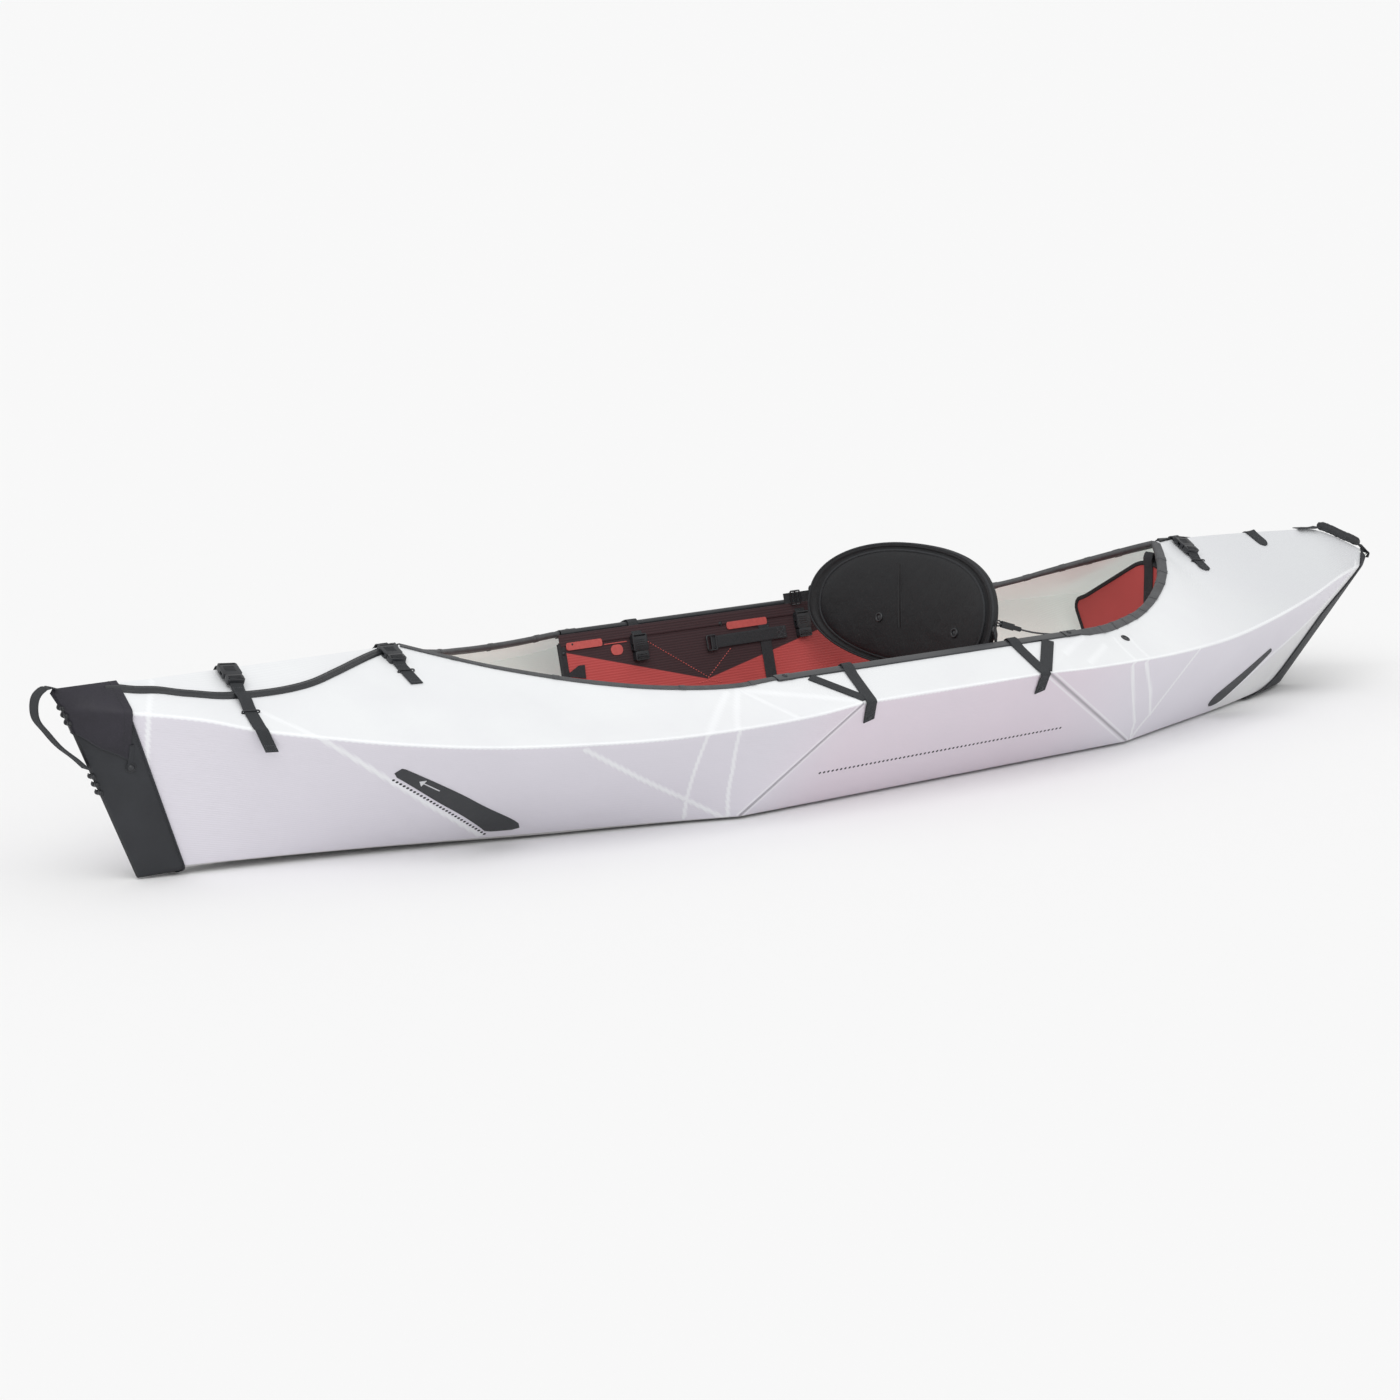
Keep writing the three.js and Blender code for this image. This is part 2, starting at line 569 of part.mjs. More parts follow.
// Seam channels: black strips over the lapped edge of each deck, which end where the deck gets narrow
const seamChannel = { width: 12, thickness: 4.5, lift: 0.8 };
const seamSteps = 4;
function seamStrip(seamList, chineList, startShare, endShare) {
  const rings = [];
  const first = startShare * deckSteps;
  const last = endShare * deckSteps;
  const stops = Array.from({ length: deckSteps * seamSteps + 1 }, (_, i) => share(i, seamSteps));
  const halfAt = (list, at) => {
    const k = Math.min(Math.floor(at), deckSteps - 1);
    return Math.abs(mix(hull.points[list[k]].y, hull.points[list[k + 1]].y, at - k));
  };
  const room = (at) => halfAt(chineList, at) - halfAt(seamList, at);
  const inside = stops.filter((at) => at > first && at < last);
  for (const at of [first, ...inside, last].filter((v) => room(v) > seamChannel.width)) {
    const k = Math.min(Math.floor(at), deckSteps - 1);
    const [a, b] = [hull.points[seamList[k]], hull.points[seamList[k + 1]]];
    const p = a.clone().lerp(b, at - k);
    const run = b.clone().sub(a).setZ(0).normalize();
    const across = V(-run.y, run.x, 0);
    const edge = (s) => {
      const q = p.clone().addScaledVector(across, s * seamChannel.width / 2);
      const ground = deckAt(q.x, q.y);
      return ground.point.addScaledVector(ground.normal, seamChannel.lift);
    };
    const [left, middle, right] = [edge(-1), edge(0), edge(1)];
    const crown = Math.max(middle.z - (left.z + right.z) / 2, 0);
    left.z += crown;
    right.z += crown;
    const up = V(0, 0, seamChannel.thickness);
    rings.push([left, right, right.clone().add(up), left.clone().add(up)]);
  }
  return loft(rings);
}
const seamEndShares = { bow: [0.13, 0.87], stern: [0.13, 0.8] };
addPart('bow_seam_channel', seamStrip(bow.seam, bow.chine[LEFT], ...seamEndShares.bow), trimBlack());
addPart('stern_seam_channel',
  seamStrip(stern.seam, stern.chine[RIGHT].slice(cockpitSteps), ...seamEndShares.stern), trimBlack());

// Floor and side boards
const boardThickness = 3;
const floorLift = sheetThickness + clearance;
const floorTop = floorLift + boardThickness;
const floor = { front: -600, past: 11, inset: 12 };
const floorRear = sternApex + floor.past;
function footHalfAt(x) {
  const list = [...bow.foot[RIGHT], ...mid.foot[RIGHT].slice(1), ...stern.foot[RIGHT].slice(1)]
    .map((i) => hull.points[i]);
  const k = Math.max(list.findIndex((p) => p.x >= x), 1);
  return mix(list[k - 1].y, list[k].y, (x - list[k - 1].x) / (list[k].x - list[k - 1].x));
}
function plate(outline, thickness) {
  const shape = new THREE.Shape(outline.map(([x, y]) => new THREE.Vector2(x, y)));
  return new THREE.ExtrudeGeometry(shape, { depth: thickness, bevelEnabled: false });
}
const floorMiddle = mix(rearFoldFoot, floorRear, halfShare);
const floorXs = [floor.front, frontFoldFoot, 0, rearFoldFoot, floorMiddle, floorRear];
const floorEdge = floorXs.map((x) => [x, footHalfAt(x) - floor.inset]);
const floorPlate = plate([...floorEdge.map(([x, y]) => [x, -y]), ...reverse(floorEdge)], boardThickness);
floorPlate.translate(0, 0, floorLift);
addPart('floorboard', closedCopy(floorPlate), boardRed());

const sideBoard = { frontInset: 4, rearInset: 6, footInset: 12, topInset: 16, topDrop: 15 };
const boardFoot = floorTop + clearance;
const boardFootHalf = rearFoldFootHalf - sideBoard.footInset;
const boardTopHalf = railHalfWidth - sideBoard.topInset;
const boardTop = railHeight - sideBoard.topDrop;
function sideBoardSolid(side) {
  const lean = V(0, side * (boardTopHalf - boardFootHalf), boardTop - boardFoot);
  const out = V(0, lean.z * side, -side * lean.y).normalize().multiplyScalar(boardThickness);
  const rings = [railFront + sideBoard.frontInset, railRear - sideBoard.rearInset].map((x) => {
    const foot = V(x, side * boardFootHalf, boardFoot);
    const top = foot.clone().add(lean);
    const footOut = V(x, side * (boardFootHalf + boardThickness), boardFoot);
    return [foot, footOut, top.clone().add(out), top];
  });
  return loft(rings);
}
for (const side of [LEFT, RIGHT]) addPart(`side_board_${sideName[side]}`, sideBoardSolid(side), boardRed());

// Rear bulkhead: a red panel that stands on the floorboard under the rear deck
const bulkhead = { apexGap: 15, cut: 22, topHalf: 20 };
const bulkheadShares = {
  foot: 0.78, shoulderHalf: 0.48, shoulder: 0.527, top: 0.873, cutIn: 0.15, cutUp: 0.7,
};
const bulkheadX = sternApex - bulkhead.apexGap;
function bulkheadSolid() {
  const footHalf = footHalfAt(bulkheadX) * bulkheadShares.foot;
  const shoulderHalf = halfBeam * bulkheadShares.shoulderHalf;
  const shoulder = depth * bulkheadShares.shoulder;
  const half = [
    [footHalf, boardFoot],
    [shoulderHalf, shoulder],
    [shoulderHalf - bulkhead.cut * bulkheadShares.cutIn, shoulder + bulkhead.cut * bulkheadShares.cutUp],
    [shoulderHalf - bulkhead.cut, shoulder + bulkhead.cut],
    [bulkhead.topHalf, depth * bulkheadShares.top],
  ];
  const outline = [...half, ...reverse(half).map(([y, z]) => [-y, z])];
  const solid = plate(outline, boardThickness);
  solid.rotateX(Math.PI / 2);
  solid.rotateZ(Math.PI / 2);
  solid.translate(bulkheadX, 0, 0);
  return closedCopy(solid);
}
addPart('rear_bulkhead', bulkheadSolid(), boardRed());

// Webbing and buckles
const webbing = { width: 25, thickness: 1.8, lift: 0.7, standOff: 6 };
const buckle = {
  length: 30, halfWidth: 16, height: 9, wall: 2.2, mouth: 22, plugLength: 16, travel: 24, corner: 4,
};
const buckleShares = {
  sideWall: 1.6, windowFrom: 0.62, windowTo: 0.25, plugHalf: 0.9, plugCorner: 0.75, tongue: 0.9, prong: 1.5,
  slotFrom: 2.4, slotTo: 1.3,
};
const overrun = 1;

// A ribbon of webbing: each row has the middle of its under side, its across and its up directions
function ribbon(rows, width = webbing.width) {
  return loft(rows.map(({ at, across, up }) => {
    const left = at.clone().addScaledVector(across, -width / 2);
    const right = at.clone().addScaledVector(across, width / 2);
    const rise = up.clone().multiplyScalar(webbing.thickness);
    return [left, right, right.clone().add(rise), left.clone().add(rise)];
  }));
}

// Buckle halves in their own frame: the plug leaves along +x, the strap lies across y, z is up
const buckleInside = buckle.halfWidth - buckle.wall * buckleShares.sideWall;
function buckleSocket() {
  const b = buckle;
  const outer = b.halfWidth + overrun;
  const body = roundedPlate(-b.length, 0, b.halfWidth, 0, b.height, b.corner);
  const cavity = block(-b.mouth, overrun, -buckleInside, buckleInside, b.wall, b.height - b.wall);
  const window = block(-b.mouth * buckleShares.windowFrom, -b.mouth * buckleShares.windowTo, -outer, outer,
    b.wall, b.height - b.wall);
  const slot = block(-b.length + b.wall, -b.length + b.wall * 2, -buckleInside, buckleInside,
    -overrun, b.height + overrun);
  return fromManifold(body.subtract(cavity).subtract(window).subtract(slot));
}
function bucklePlug() {
  const b = buckle;
  const inside = buckleInside - clearance;
  const low = b.wall + clearance;
  const high = b.height - b.wall - clearance;
  const tongueHalf = b.wall * buckleShares.tongue;
  const prongInner = inside - b.wall * buckleShares.prong;
  const plugHalf = b.halfWidth * buckleShares.plugHalf;
  const base = roundedPlate(clearance, b.plugLength, plugHalf, 0, b.height, b.corner * buckleShares.plugCorner);
  const tongue = block(-b.mouth + overrun, overrun, -tongueHalf, tongueHalf, low, high);
  const rightProng = block(-b.mouth + overrun, overrun, prongInner, inside, low, high);
  const leftProng = block(-b.mouth + overrun, overrun, -inside, -prongInner, low, high);
  const slot = block(b.plugLength - b.wall * buckleShares.slotFrom, b.plugLength - b.wall * buckleShares.slotTo,
    -inside, inside, -overrun, b.height + overrun);
  return fromManifold(base.add(tongue).add(rightProng).add(leftProng).subtract(slot));
}
const socketShape = buckleSocket();
const plugShape = bucklePlug();
function place(geometry, origin, forward, up) {
  const across = up.clone().cross(forward).normalize();
  const copy = geometry.clone();
  copy.applyMatrix4(new THREE.Matrix4().makeBasis(forward, across, up).setPosition(origin));
  return copy;
}

// Deck straps: a far webbing over the ridge, the buckle on the slope, and a near webbing with a free tail
const bowStrap = { name: 'bow', start: 6, far: 78, tail: 34, crossesSeam: true };
const cockpitStrap = { name: 'cockpit', start: 6, far: 70, tail: 62, crossesSeam: false };
const sternStrap = { name: 'stern', start: 6, far: 62, tail: 36, crossesSeam: false };
const strapPlaceShares = { bow: 0.476, cockpit: 0.95, stern: 0.0945 };
const strapSkewShares = { bow: -0.2, cockpit: -0.12, stern: -0.1 };
const strapXs = {
  bow: mix(bowStemTop, bowApex, strapPlaceShares.bow),
  cockpit: mix(bowStemTop, bowApex, strapPlaceShares.cockpit),
  stern: mix(sternApex, sternStemTop, strapPlaceShares.stern),
};
const strapStep = { seamPast: 28, seamRamp: 14, plugRamp: 10, edge: 3 };
const plugExitShare = 0.45;
const tailAftShare = 0.5;
const farRiseShares = [1, 0.8];
const farSteps = 6;
for (const strap of [bowStrap, cockpitStrap, sternStrap]) {
  const strapX = strapXs[strap.name];
  const skew = strapSkewShares[strap.name];
  const top = deckAt(strapX, -overrun).point;
  const probe = buckle.length + buckle.plugLength + buckle.travel;
  const low = deckAt(strapX + skew * probe, -probe);
  const down = low.point.clone().sub(top).normalize();
  const slopeUp = low.normal.clone().addScaledVector(down, -low.normal.dot(down)).normalize();
  const across = down.clone().cross(slopeUp).normalize();
  const onSlope = (s, lift) => top.clone().addScaledVector(down, s).addScaledVector(slopeUp, lift);
  const mouth = strap.start + buckle.length;

  // The buckle sits as low as the deck under it allows
  let seat = 0;
  for (const s of [strap.start, mix(strap.start, mouth, halfShare), mouth, mouth + buckle.plugLength, probe]) {
    for (const k of [-1, 0, 1]) {
      const base = onSlope(s, 0).addScaledVector(across, k * buckle.halfWidth);
      seat = Math.max(seat, deckAt(base.x, base.y).point.sub(base).dot(slopeUp));
    }
  }
  // A buckle above the seam is held up by the webbing, so that its plug passes over the seam channel
  const high = seamChannel.lift + seamChannel.thickness + webbing.lift;
  if (strap.crossesSeam) seat = Math.max(seat, high);
  const mouthPoint = onSlope(mouth, seat + webbing.lift);
  addPart(`${strap.name}_strap_socket`, place(socketShape, mouthPoint, down, slopeUp), buckleBlack());
  addPart(`${strap.name}_strap_plug`, place(plugShape, mouthPoint, down, slopeUp), buckleBlack());

  // Far webbing: anchored on the far slope, over the ridge, up to the socket
  const farStops = [strap.start - overrun * 2, 0,
    ...Array.from({ length: farSteps }, (_, i) => -strap.far * share(i + 1, farSteps))];
  const exit = buckle.height * plugExitShare;
  const farRows = farStops.map((s, i) => {
    const y = -s * Math.hypot(down.x, down.y);
    const x = strapX + skew * s;
    const ground = [-1, 0, 1].map((k) => deckAt(x + k * webbing.width / 2, y).point.z);
    const rise = (seat + exit) * (farRiseShares[i] ?? 0);
    return { at: V(x, y, Math.max(...ground) + webbing.lift + rise), across: V(1, 0, 0), up: V(0, 0, 1) };
  });
  addPart(`${strap.name}_strap_anchor_webbing`, ribbon(farRows), webbingBlack());

  // Near webbing: leaves the plug, rises over the seam where it crosses it, and lies on the deck
  const plugEnd = mouth + buckle.plugLength + clearance;
  const planAt = (s) => [top.x + down.x * s, top.y + down.y * s];
  const nearRows = [{ s: plugEnd, lift: seat + exit }];
  let chineAt = 0;
  if (strap.crossesSeam) {
    const past = seamOverlap + strapStep.seamPast;
    const landed = past + strapStep.seamRamp;
    chineAt = past;
    while (deckAt(...planAt(chineAt))) chineAt += overrun;
    nearRows.push({ s: past, lift: high });
    for (const k of [0, 1, 2, 3]) {
      nearRows.push({ s: mix(landed, chineAt - strapStep.edge, share(k, 3)), lift: webbing.lift });
    }
  } else {
    nearRows.push({ s: plugEnd + strapStep.plugRamp, lift: webbing.lift });
    nearRows.push({ s: plugEnd + strap.tail, lift: webbing.lift });
  }
  const rows = nearRows.map(({ s, lift }) => {
    const [x, y] = planAt(s);
    const spots = [-1, 0, 1].map((k) => deckAt(x + k * webbing.width / 2, y)).filter(Boolean);
    const above = Math.max(...spots.map((g) => g.point.clone().sub(onSlope(s, 0)).dot(slopeUp)), 0);
    return { at: onSlope(s, lift + above), across, up: slopeUp };
  });
  if (strap.crossesSeam) {
    const edge = onSlope(chineAt + webbing.standOff, webbing.lift);
    const hang = V(tailAftShare, 0, -1).normalize();
    rows.push({ at: edge, across, up: slopeUp.clone().add(V(0, LEFT, 0)).normalize() });
    rows.push({ at: edge.clone().addScaledVector(hang, strap.tail), across, up: V(0, LEFT, 0) });
  }
  addPart(`${strap.name}_strap_webbing`, ribbon(rows), webbingBlack());
}

// Straps over the gunwale rails: two legs that meet on the fold, and a tab down the side.
// Their places are measured from the top of the fold.
const slopeLength = Math.hypot(topsideRun, topsideRise);
const railFace = railTrim.slack + railTrim.wall + webbing.lift;
const railEdge = -railTrim.bead - webbing.lift;
const frontStrap = { name: 'front', over: 47, under: -53, meet: 11 };
const rearStrap = { name: 'rear', over: 7, under: 92, meet: -12 };
const foldTops = { front: frontFoldTop, rear: rearFoldTop };
const strapDrop = { inside: 12, outside: 18, tab: 32 };
const bendShare = 1.6;
function gunwaleStrap(strap, side) {
  const outward = V(0, side * Math.cos(topsideSlope), -Math.sin(topsideSlope));
  const up = V(0, side * Math.sin(topsideSlope), Math.cos(topsideSlope));
  const onTop = (x, a, h) => V(x, side * railHalfWidth, railHeight)
    .addScaledVector(outward, a).addScaledVector(up, h);
  const foldX = foldTops[strap.name] + strap.meet;
  const toMeet = (from, a) => mix(foldTops[strap.name] + from, foldX, Math.max(a, 0) / slopeLength);
  const across = V(1, 0, 0);
  const tabPoint = sideAt(foldX, foldHeight - strapDrop.tab, side);
  const bend = up.clone().add(tabPoint.normal).normalize();
  const fold = onTop(foldX, slopeLength, 0).addScaledVector(bend, webbing.lift * bendShare);
  const tab = tabPoint.point.clone().addScaledVector(tabPoint.normal, webbing.lift);
  const inboard = outward.clone().negate();
  const low = onTop(toMeet(strap.under, strapDrop.outside), strapDrop.outside, webbing.lift);
  const overLeg = [
    { at: onTop(toMeet(strap.over, 0), railEdge, -strapDrop.inside), across, up: inboard },
    { at: onTop(toMeet(strap.over, 0), railEdge, railFace), across, up: inboard.clone().add(up).normalize() },
    { at: onTop(toMeet(strap.over, railTrim.leg), railTrim.leg, railFace), across, up },
    { at: onTop(toMeet(strap.over, strapDrop.outside), strapDrop.outside, webbing.lift), across, up },
    { at: fold, across, up: bend },
    { at: tab, across, up: tabPoint.normal },
  ];
  const underLeg = [{ at: low, across, up }, { at: fold, across, up: bend }];
  return fromManifold(toManifold(ribbon(overLeg)).add(toManifold(ribbon(underLeg))));
}

// Their buckles lie on the inner faces of the side boards; the plug slides out down the board
const innerBuckleDrop = 3;
for (const strap of [frontStrap, rearStrap]) {
  for (const side of [LEFT, RIGHT]) {
    addPart(`${strap.name}_gunwale_strap_${sideName[side]}`, gunwaleStrap(strap, side), webbingBlack());
    const strapX = foldTops[strap.name] + strap.over;
    const foot = V(strapX, side * boardFootHalf, boardFoot);
    const top = V(strapX, side * boardTopHalf, boardTop);
    const down = foot.clone().sub(top).normalize();
    const inward = V(0, side * down.z, Math.abs(down.y)).normalize();
    const origin = top.clone().addScaledVector(down, innerBuckleDrop + buckle.length)
      .addScaledVector(inward, clearance);
    const name = `${strap.name}_${sideName[side]}`;
    addPart(`${name}_inner_socket`, place(socketShape, origin, down, inward), buckleBlack());
    addPart(`${name}_inner_plug`, place(plugShape, origin, down, inward), buckleBlack());
  }
}

// Soft pads, built from rings that shrink towards the middle of each face.
// Each row holds the share of the outline kept, and the share of the pad's thickness it stands at.
const padSides = 32;
const seatRingShares = [[0.97, 0], [1, 0.2], [1, 0.45], [0.975, 0.68], [0.9, 0.86], [0.7, 0.95], [0.35, 1]];
const backRingShares = [
  [0.55, -0.3], [0.9, -0.24], [0.985, -0.05], [1, 0.2], [0.975, 0.5], [0.93, 0.68], [0.86, 0.7],
  [0.8, 0.86], [0.55, 0.97], [0.25, 1],
];
const ovalShares = { seat: 0.42, back: 0.86 };
function pad(rings, halfA, halfB, power, shape) {
  return loft(rings.map(([keep, rise]) => Array.from({ length: padSides }, (_, k) => {
    const angle = share(k, padSides) * Math.PI * 2;
    const [c, s] = [Math.cos(angle), Math.sin(angle)];
    const a = halfA * Math.sign(c) * Math.abs(c) ** power;
    const b = halfB * Math.sign(s) * Math.abs(s) ** power;
    return shape(a * keep, b * keep, rise);
  })));
}

const seatPad = { front: -150, rear: 220, sideInset: 22, height: 30 };
const seatMiddle = (seatPad.front + seatPad.rear) / 2;
const seatHalfWidth = boardFootHalf - seatPad.sideInset;
const seatBase = floorTop + clearance;
addPart('seat_pad', pad(seatRingShares, (seatPad.rear - seatPad.front) / 2, seatHalfWidth, ovalShares.seat,
  (a, b, rise) => V(seatMiddle + a, b, seatBase + rise * seatPad.height)), foamBlack());

// The backrest leans back and wraps forward at its sides
const backrest = { x: 294, below: 88, above: 122, sideInset: 41, thickness: 26, wrap: 42 };
const leanShare = 0.22;
const backHalfWidth = railHalfWidth - backrest.sideInset;
const backHalfHeight = (backrest.below + backrest.above) / 2;
const backMiddle = railHeight + (backrest.above - backrest.below) / 2;
function backrestPoint(a, b, rise) {
  const wrap = backrest.wrap * (a / backHalfWidth) ** 2;
  const turn = Math.atan(2 * wrap / backHalfWidth * Math.sign(a));
  const out = rise * backrest.thickness;
  return V(backrest.x - wrap + b * leanShare - out * Math.cos(turn), a - out * Math.sin(turn), backMiddle + b);
}
addPart('backrest_pad', pad(backRingShares, backHalfWidth, backHalfHeight, ovalShares.back, backrestPoint),
  foamBlack());

// A round bar along a curve, with flat ends
function tube(curve, radius, sides, steps) {
  const round = new THREE.Shape(Array.from({ length: sides }, (_, k) => {
    const angle = share(k, sides) * Math.PI * 2;
    return new THREE.Vector2(radius * Math.cos(angle), radius * Math.sin(angle));
  }));
  return closedCopy(new THREE.ExtrudeGeometry(round, { steps, extrudePath: curve, bevelEnabled: false }));
}

// Straps and cords that hold the backrest to the sides
const backStrap = { width: 20, ends: 3, reach: 30, padInset: 1.2, railInset: 9.6 };
const strapEdgeShare = 0.2;
const cord = { radius: 2, railBack: 28, sag: 6, padBack: 4, padOut: 0.8, under: 6, railInset: 10.4 };
const cordSides = 8;
const cordSteps = 24;
for (const side of [LEFT, RIGHT]) {
  const height = backMiddle;
  const edge = backrestPoint(side * backHalfWidth, 0, 0);
  const startX = edge.x - backrest.thickness * strapEdgeShare;
  const start = V(startX, side * (backHalfWidth - backStrap.padInset), height);
  const end = V(startX - backStrap.reach, side * (railHalfWidth - backStrap.railInset),
    railHeight + backStrap.ends);
  const run = end.clone().sub(start).normalize();
  const up = V(0, side, 0).addScaledVector(run, -side * run.y).normalize();
  const across = run.clone().cross(up).normalize();
  const rows = [start, start.clone().lerp(end, halfShare), end].map((at) => ({ at, across, up }));
  addPart(`backrest_strap_${sideName[side]}`, ribbon(rows, backStrap.width), webbingBlack());

  const tie = V(startX + cord.padBack, side * (backHalfWidth + cord.padOut), height);
  const hold = V(railRear - cord.railBack, side * (railHalfWidth - cord.railInset), railHeight - cord.under);
  const middle = tie.clone().lerp(hold, halfShare);
  middle.z -= cord.sag;
  addPart(`rear_cord_${sideName[side]}`,
    tube(new THREE.CatmullRomCurve3([tie, middle, hold]), cord.radius, cordSides, cordSteps), webbingBlack());
}

// End fairings: skins that wrap the sheet at each stem, as far as its first station
const fairing = { gap: 0.7, skin: 1.8 };
function endCap(zone, seamSide, step) {
  const cap = new Sheet();
  const line = (list) => (step > 0 ? list.slice(0, 2) : list.slice(-2))
    .map((i) => cap.point(hull.points[i].clone()));
  // The same order of points as in the hull, so that the same diagonals are used
  const wrap = (rowA, rowB) => cap.strip('cap', rowA, rowB);
  const tip = step > 0 ? 0 : 1;
  const keel = line(zone.keel);
  const ridge = line(zone.ridge);
  const seam = line(zone.seam);
  seam[tip] = ridge[tip];
  const ends = { [LEFT]: {}, [RIGHT]: {} };
  for (const side of [LEFT, RIGHT]) {
    const foot = line(zone.foot[side]);
    const chine = line(zone.chine[side]);
    ends[side] = { foot: foot[tip], chine: chine[tip] };
    wrap(keel, foot);
    wrap(foot, chine);
    wrap(chine, side === seamSide ? seam : ridge);
  }
  wrap(ridge, seam);
  // The narrow face across the stem
  cap.face('cap', [keel[tip], ends[LEFT].foot, ends[RIGHT].foot]);
  cap.face('cap', [ends[LEFT].foot, ends[RIGHT].foot, ends[RIGHT].chine]);
  cap.face('cap', [ends[LEFT].foot, ends[RIGHT].chine, ends[LEFT].chine]);
  cap.face('cap', [ends[LEFT].chine, ends[RIGHT].chine, ridge[tip]]);
  return cap.panel('cap', fairing.gap + fairing.skin, fairing.gap);
}
addPart('bow_fairing', endCap(bow, LEFT, 1), fabricBlack());
addPart('stern_fairing', endCap(stern, RIGHT, -1), trimBlack());

// Grab loop at the bow: a bow of webbing from the top of the stem to its middle. Its rows hold how far
// down the stem from the chine, as a share of the drop, and how far ahead, as a share of the reach.
const loop = { reach: 48 };
const loopDropShare = 0.33;
const loopRowShares = [
  [-0.376, -0.028], [-0.481, 0.3], [-0.425, 0.74], [-0.161, 1], [0.143, 0.86], [0.45, 0.664],
  [0.767, 0.335], [1, 0.136],
];
const stemChine = V(bowCurves.chine[0].x, 0, bowCurves.chine[0].z);
const stemDown = V(bowCurves.foot[0].x, 0, bowCurves.foot[0].z).sub(stemChine).normalize();
const stemAhead = V(stemDown.z, 0, -stemDown.x);
const loopPath = loopRowShares.map(([down, ahead]) => stemChine.clone()
  .addScaledVector(stemDown, down * depth * loopDropShare).addScaledVector(stemAhead, ahead * loop.reach));
addPart('bow_grab_loop', ribbon(loopPath.map((at, i) => {
  const after = loopPath[Math.min(i + 1, loopPath.length - 1)];
  const run = after.clone().sub(loopPath[Math.max(i - 1, 0)]).normalize();
  return { at, across: V(0, 1, 0), up: V(run.z, 0, -run.x) };
})), webbingBlack());

// Padded grip on the stern handle, lying along the ridge
const grip = { radius: 8.5, length: 114, stemGap: 24, lift: 9.6 };
const gripSides = 10;
const gripSteps = 6;
const gripStops = 4;
const gripPath = new THREE.CatmullRomCurve3(Array.from({ length: gripStops + 1 }, (_, i) => {
  const x = sternStemTop - grip.stemGap - grip.length * (1 - share(i, gripStops));
  return V(x, 0, deckAt(x, 0).point.z + grip.lift);
}));
addPart('stern_handle_grip', tube(gripPath, grip.radius, gripSides, gripSteps), foamBlack());

export default group;
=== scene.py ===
# %% [markdown]
# # A folding kayak
# The boat is one creased sheet of white twin-wall plastic. Black trims grip its edges, webbing straps
# with side release buckles close it, and red boards stiffen it inside. The CAD part fixes where every
# piece is. This lesson dresses it: smooth sheets over the faceted panels, woven straps, soft pads.
# %% Load the frame
import bmesh
import bpy
import math
import numpy as np
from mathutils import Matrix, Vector
from mathutils.bvhtree import BVHTree


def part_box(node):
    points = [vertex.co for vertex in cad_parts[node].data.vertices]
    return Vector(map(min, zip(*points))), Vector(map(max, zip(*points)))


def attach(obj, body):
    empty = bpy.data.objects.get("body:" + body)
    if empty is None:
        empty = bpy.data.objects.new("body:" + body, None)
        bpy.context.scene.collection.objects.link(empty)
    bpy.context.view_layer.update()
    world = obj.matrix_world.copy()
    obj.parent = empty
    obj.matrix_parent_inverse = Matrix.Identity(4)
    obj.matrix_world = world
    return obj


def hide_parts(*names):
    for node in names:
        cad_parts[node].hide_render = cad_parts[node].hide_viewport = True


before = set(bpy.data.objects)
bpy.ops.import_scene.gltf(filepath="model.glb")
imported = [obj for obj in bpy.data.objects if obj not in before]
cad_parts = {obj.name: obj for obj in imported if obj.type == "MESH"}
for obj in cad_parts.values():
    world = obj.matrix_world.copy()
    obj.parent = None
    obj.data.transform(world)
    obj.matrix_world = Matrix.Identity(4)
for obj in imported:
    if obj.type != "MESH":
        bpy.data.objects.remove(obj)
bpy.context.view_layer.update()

# %% [markdown]
# ## Camera and light
# The camera stands off the port bow, a little above the deck. A long lens keeps the far stern large.
# The light is plain: an even white sky and two very soft suns, so no lamp shows as a hot spot.
# %% Camera
camera_data = bpy.data.cameras.new("camera")
camera_data.lens = 108.84
camera_data.sensor_width = 36
camera_data.clip_end = 400
camera = bpy.data.objects.new("camera", camera_data)
camera.location = (-4.6524, -5.3277, 1.4498)
aim = Vector((-0.2041, 0, 0.137)) - camera.location
camera.rotation_euler = aim.to_track_quat("-Z", "Y").to_euler()
bpy.context.collection.objects.link(camera)
bpy.context.scene.camera = camera
bpy.context.scene.view_settings.view_transform = "Standard"
print("camera", tuple(round(v, 3) for v in camera.location))

# %% [markdown]
# ## Shader maths as expressions
# A pattern is easier to read as a formula than as a heap of nodes. This small class wraps a node
# socket, so that `a * 2 + b` adds the Math nodes that work it out.
# %% The shader class
class Value:
    """One socket of a material's node tree, with arithmetic."""

    def __init__(self, tree, socket):
        self.tree, self.socket = tree, socket

    def math(self, operation, *others):
        node = self.tree.nodes.new("ShaderNodeMath")
        node.operation = operation
        for slot, item in zip(node.inputs, (self,) + others):
            put(self.tree, slot, item)
        return Value(self.tree, node.outputs[0])

    def __rsub__(self, other):
        return (self * -1) + other

    def clamp(self):
        return self.least(1.0).most(0.0)

    def wave(self, pitch):
        """A sine that comes back every pitch metres."""
        return (self * (2 * math.pi / pitch)).sin()

    def fade(self, near, far):
        """1 up to near, falling smoothly to 0 at far."""
        t = ((self - near) * (1.0 / (far - near))).clamp()
        return 1 - t * t * (3 - t * 2)


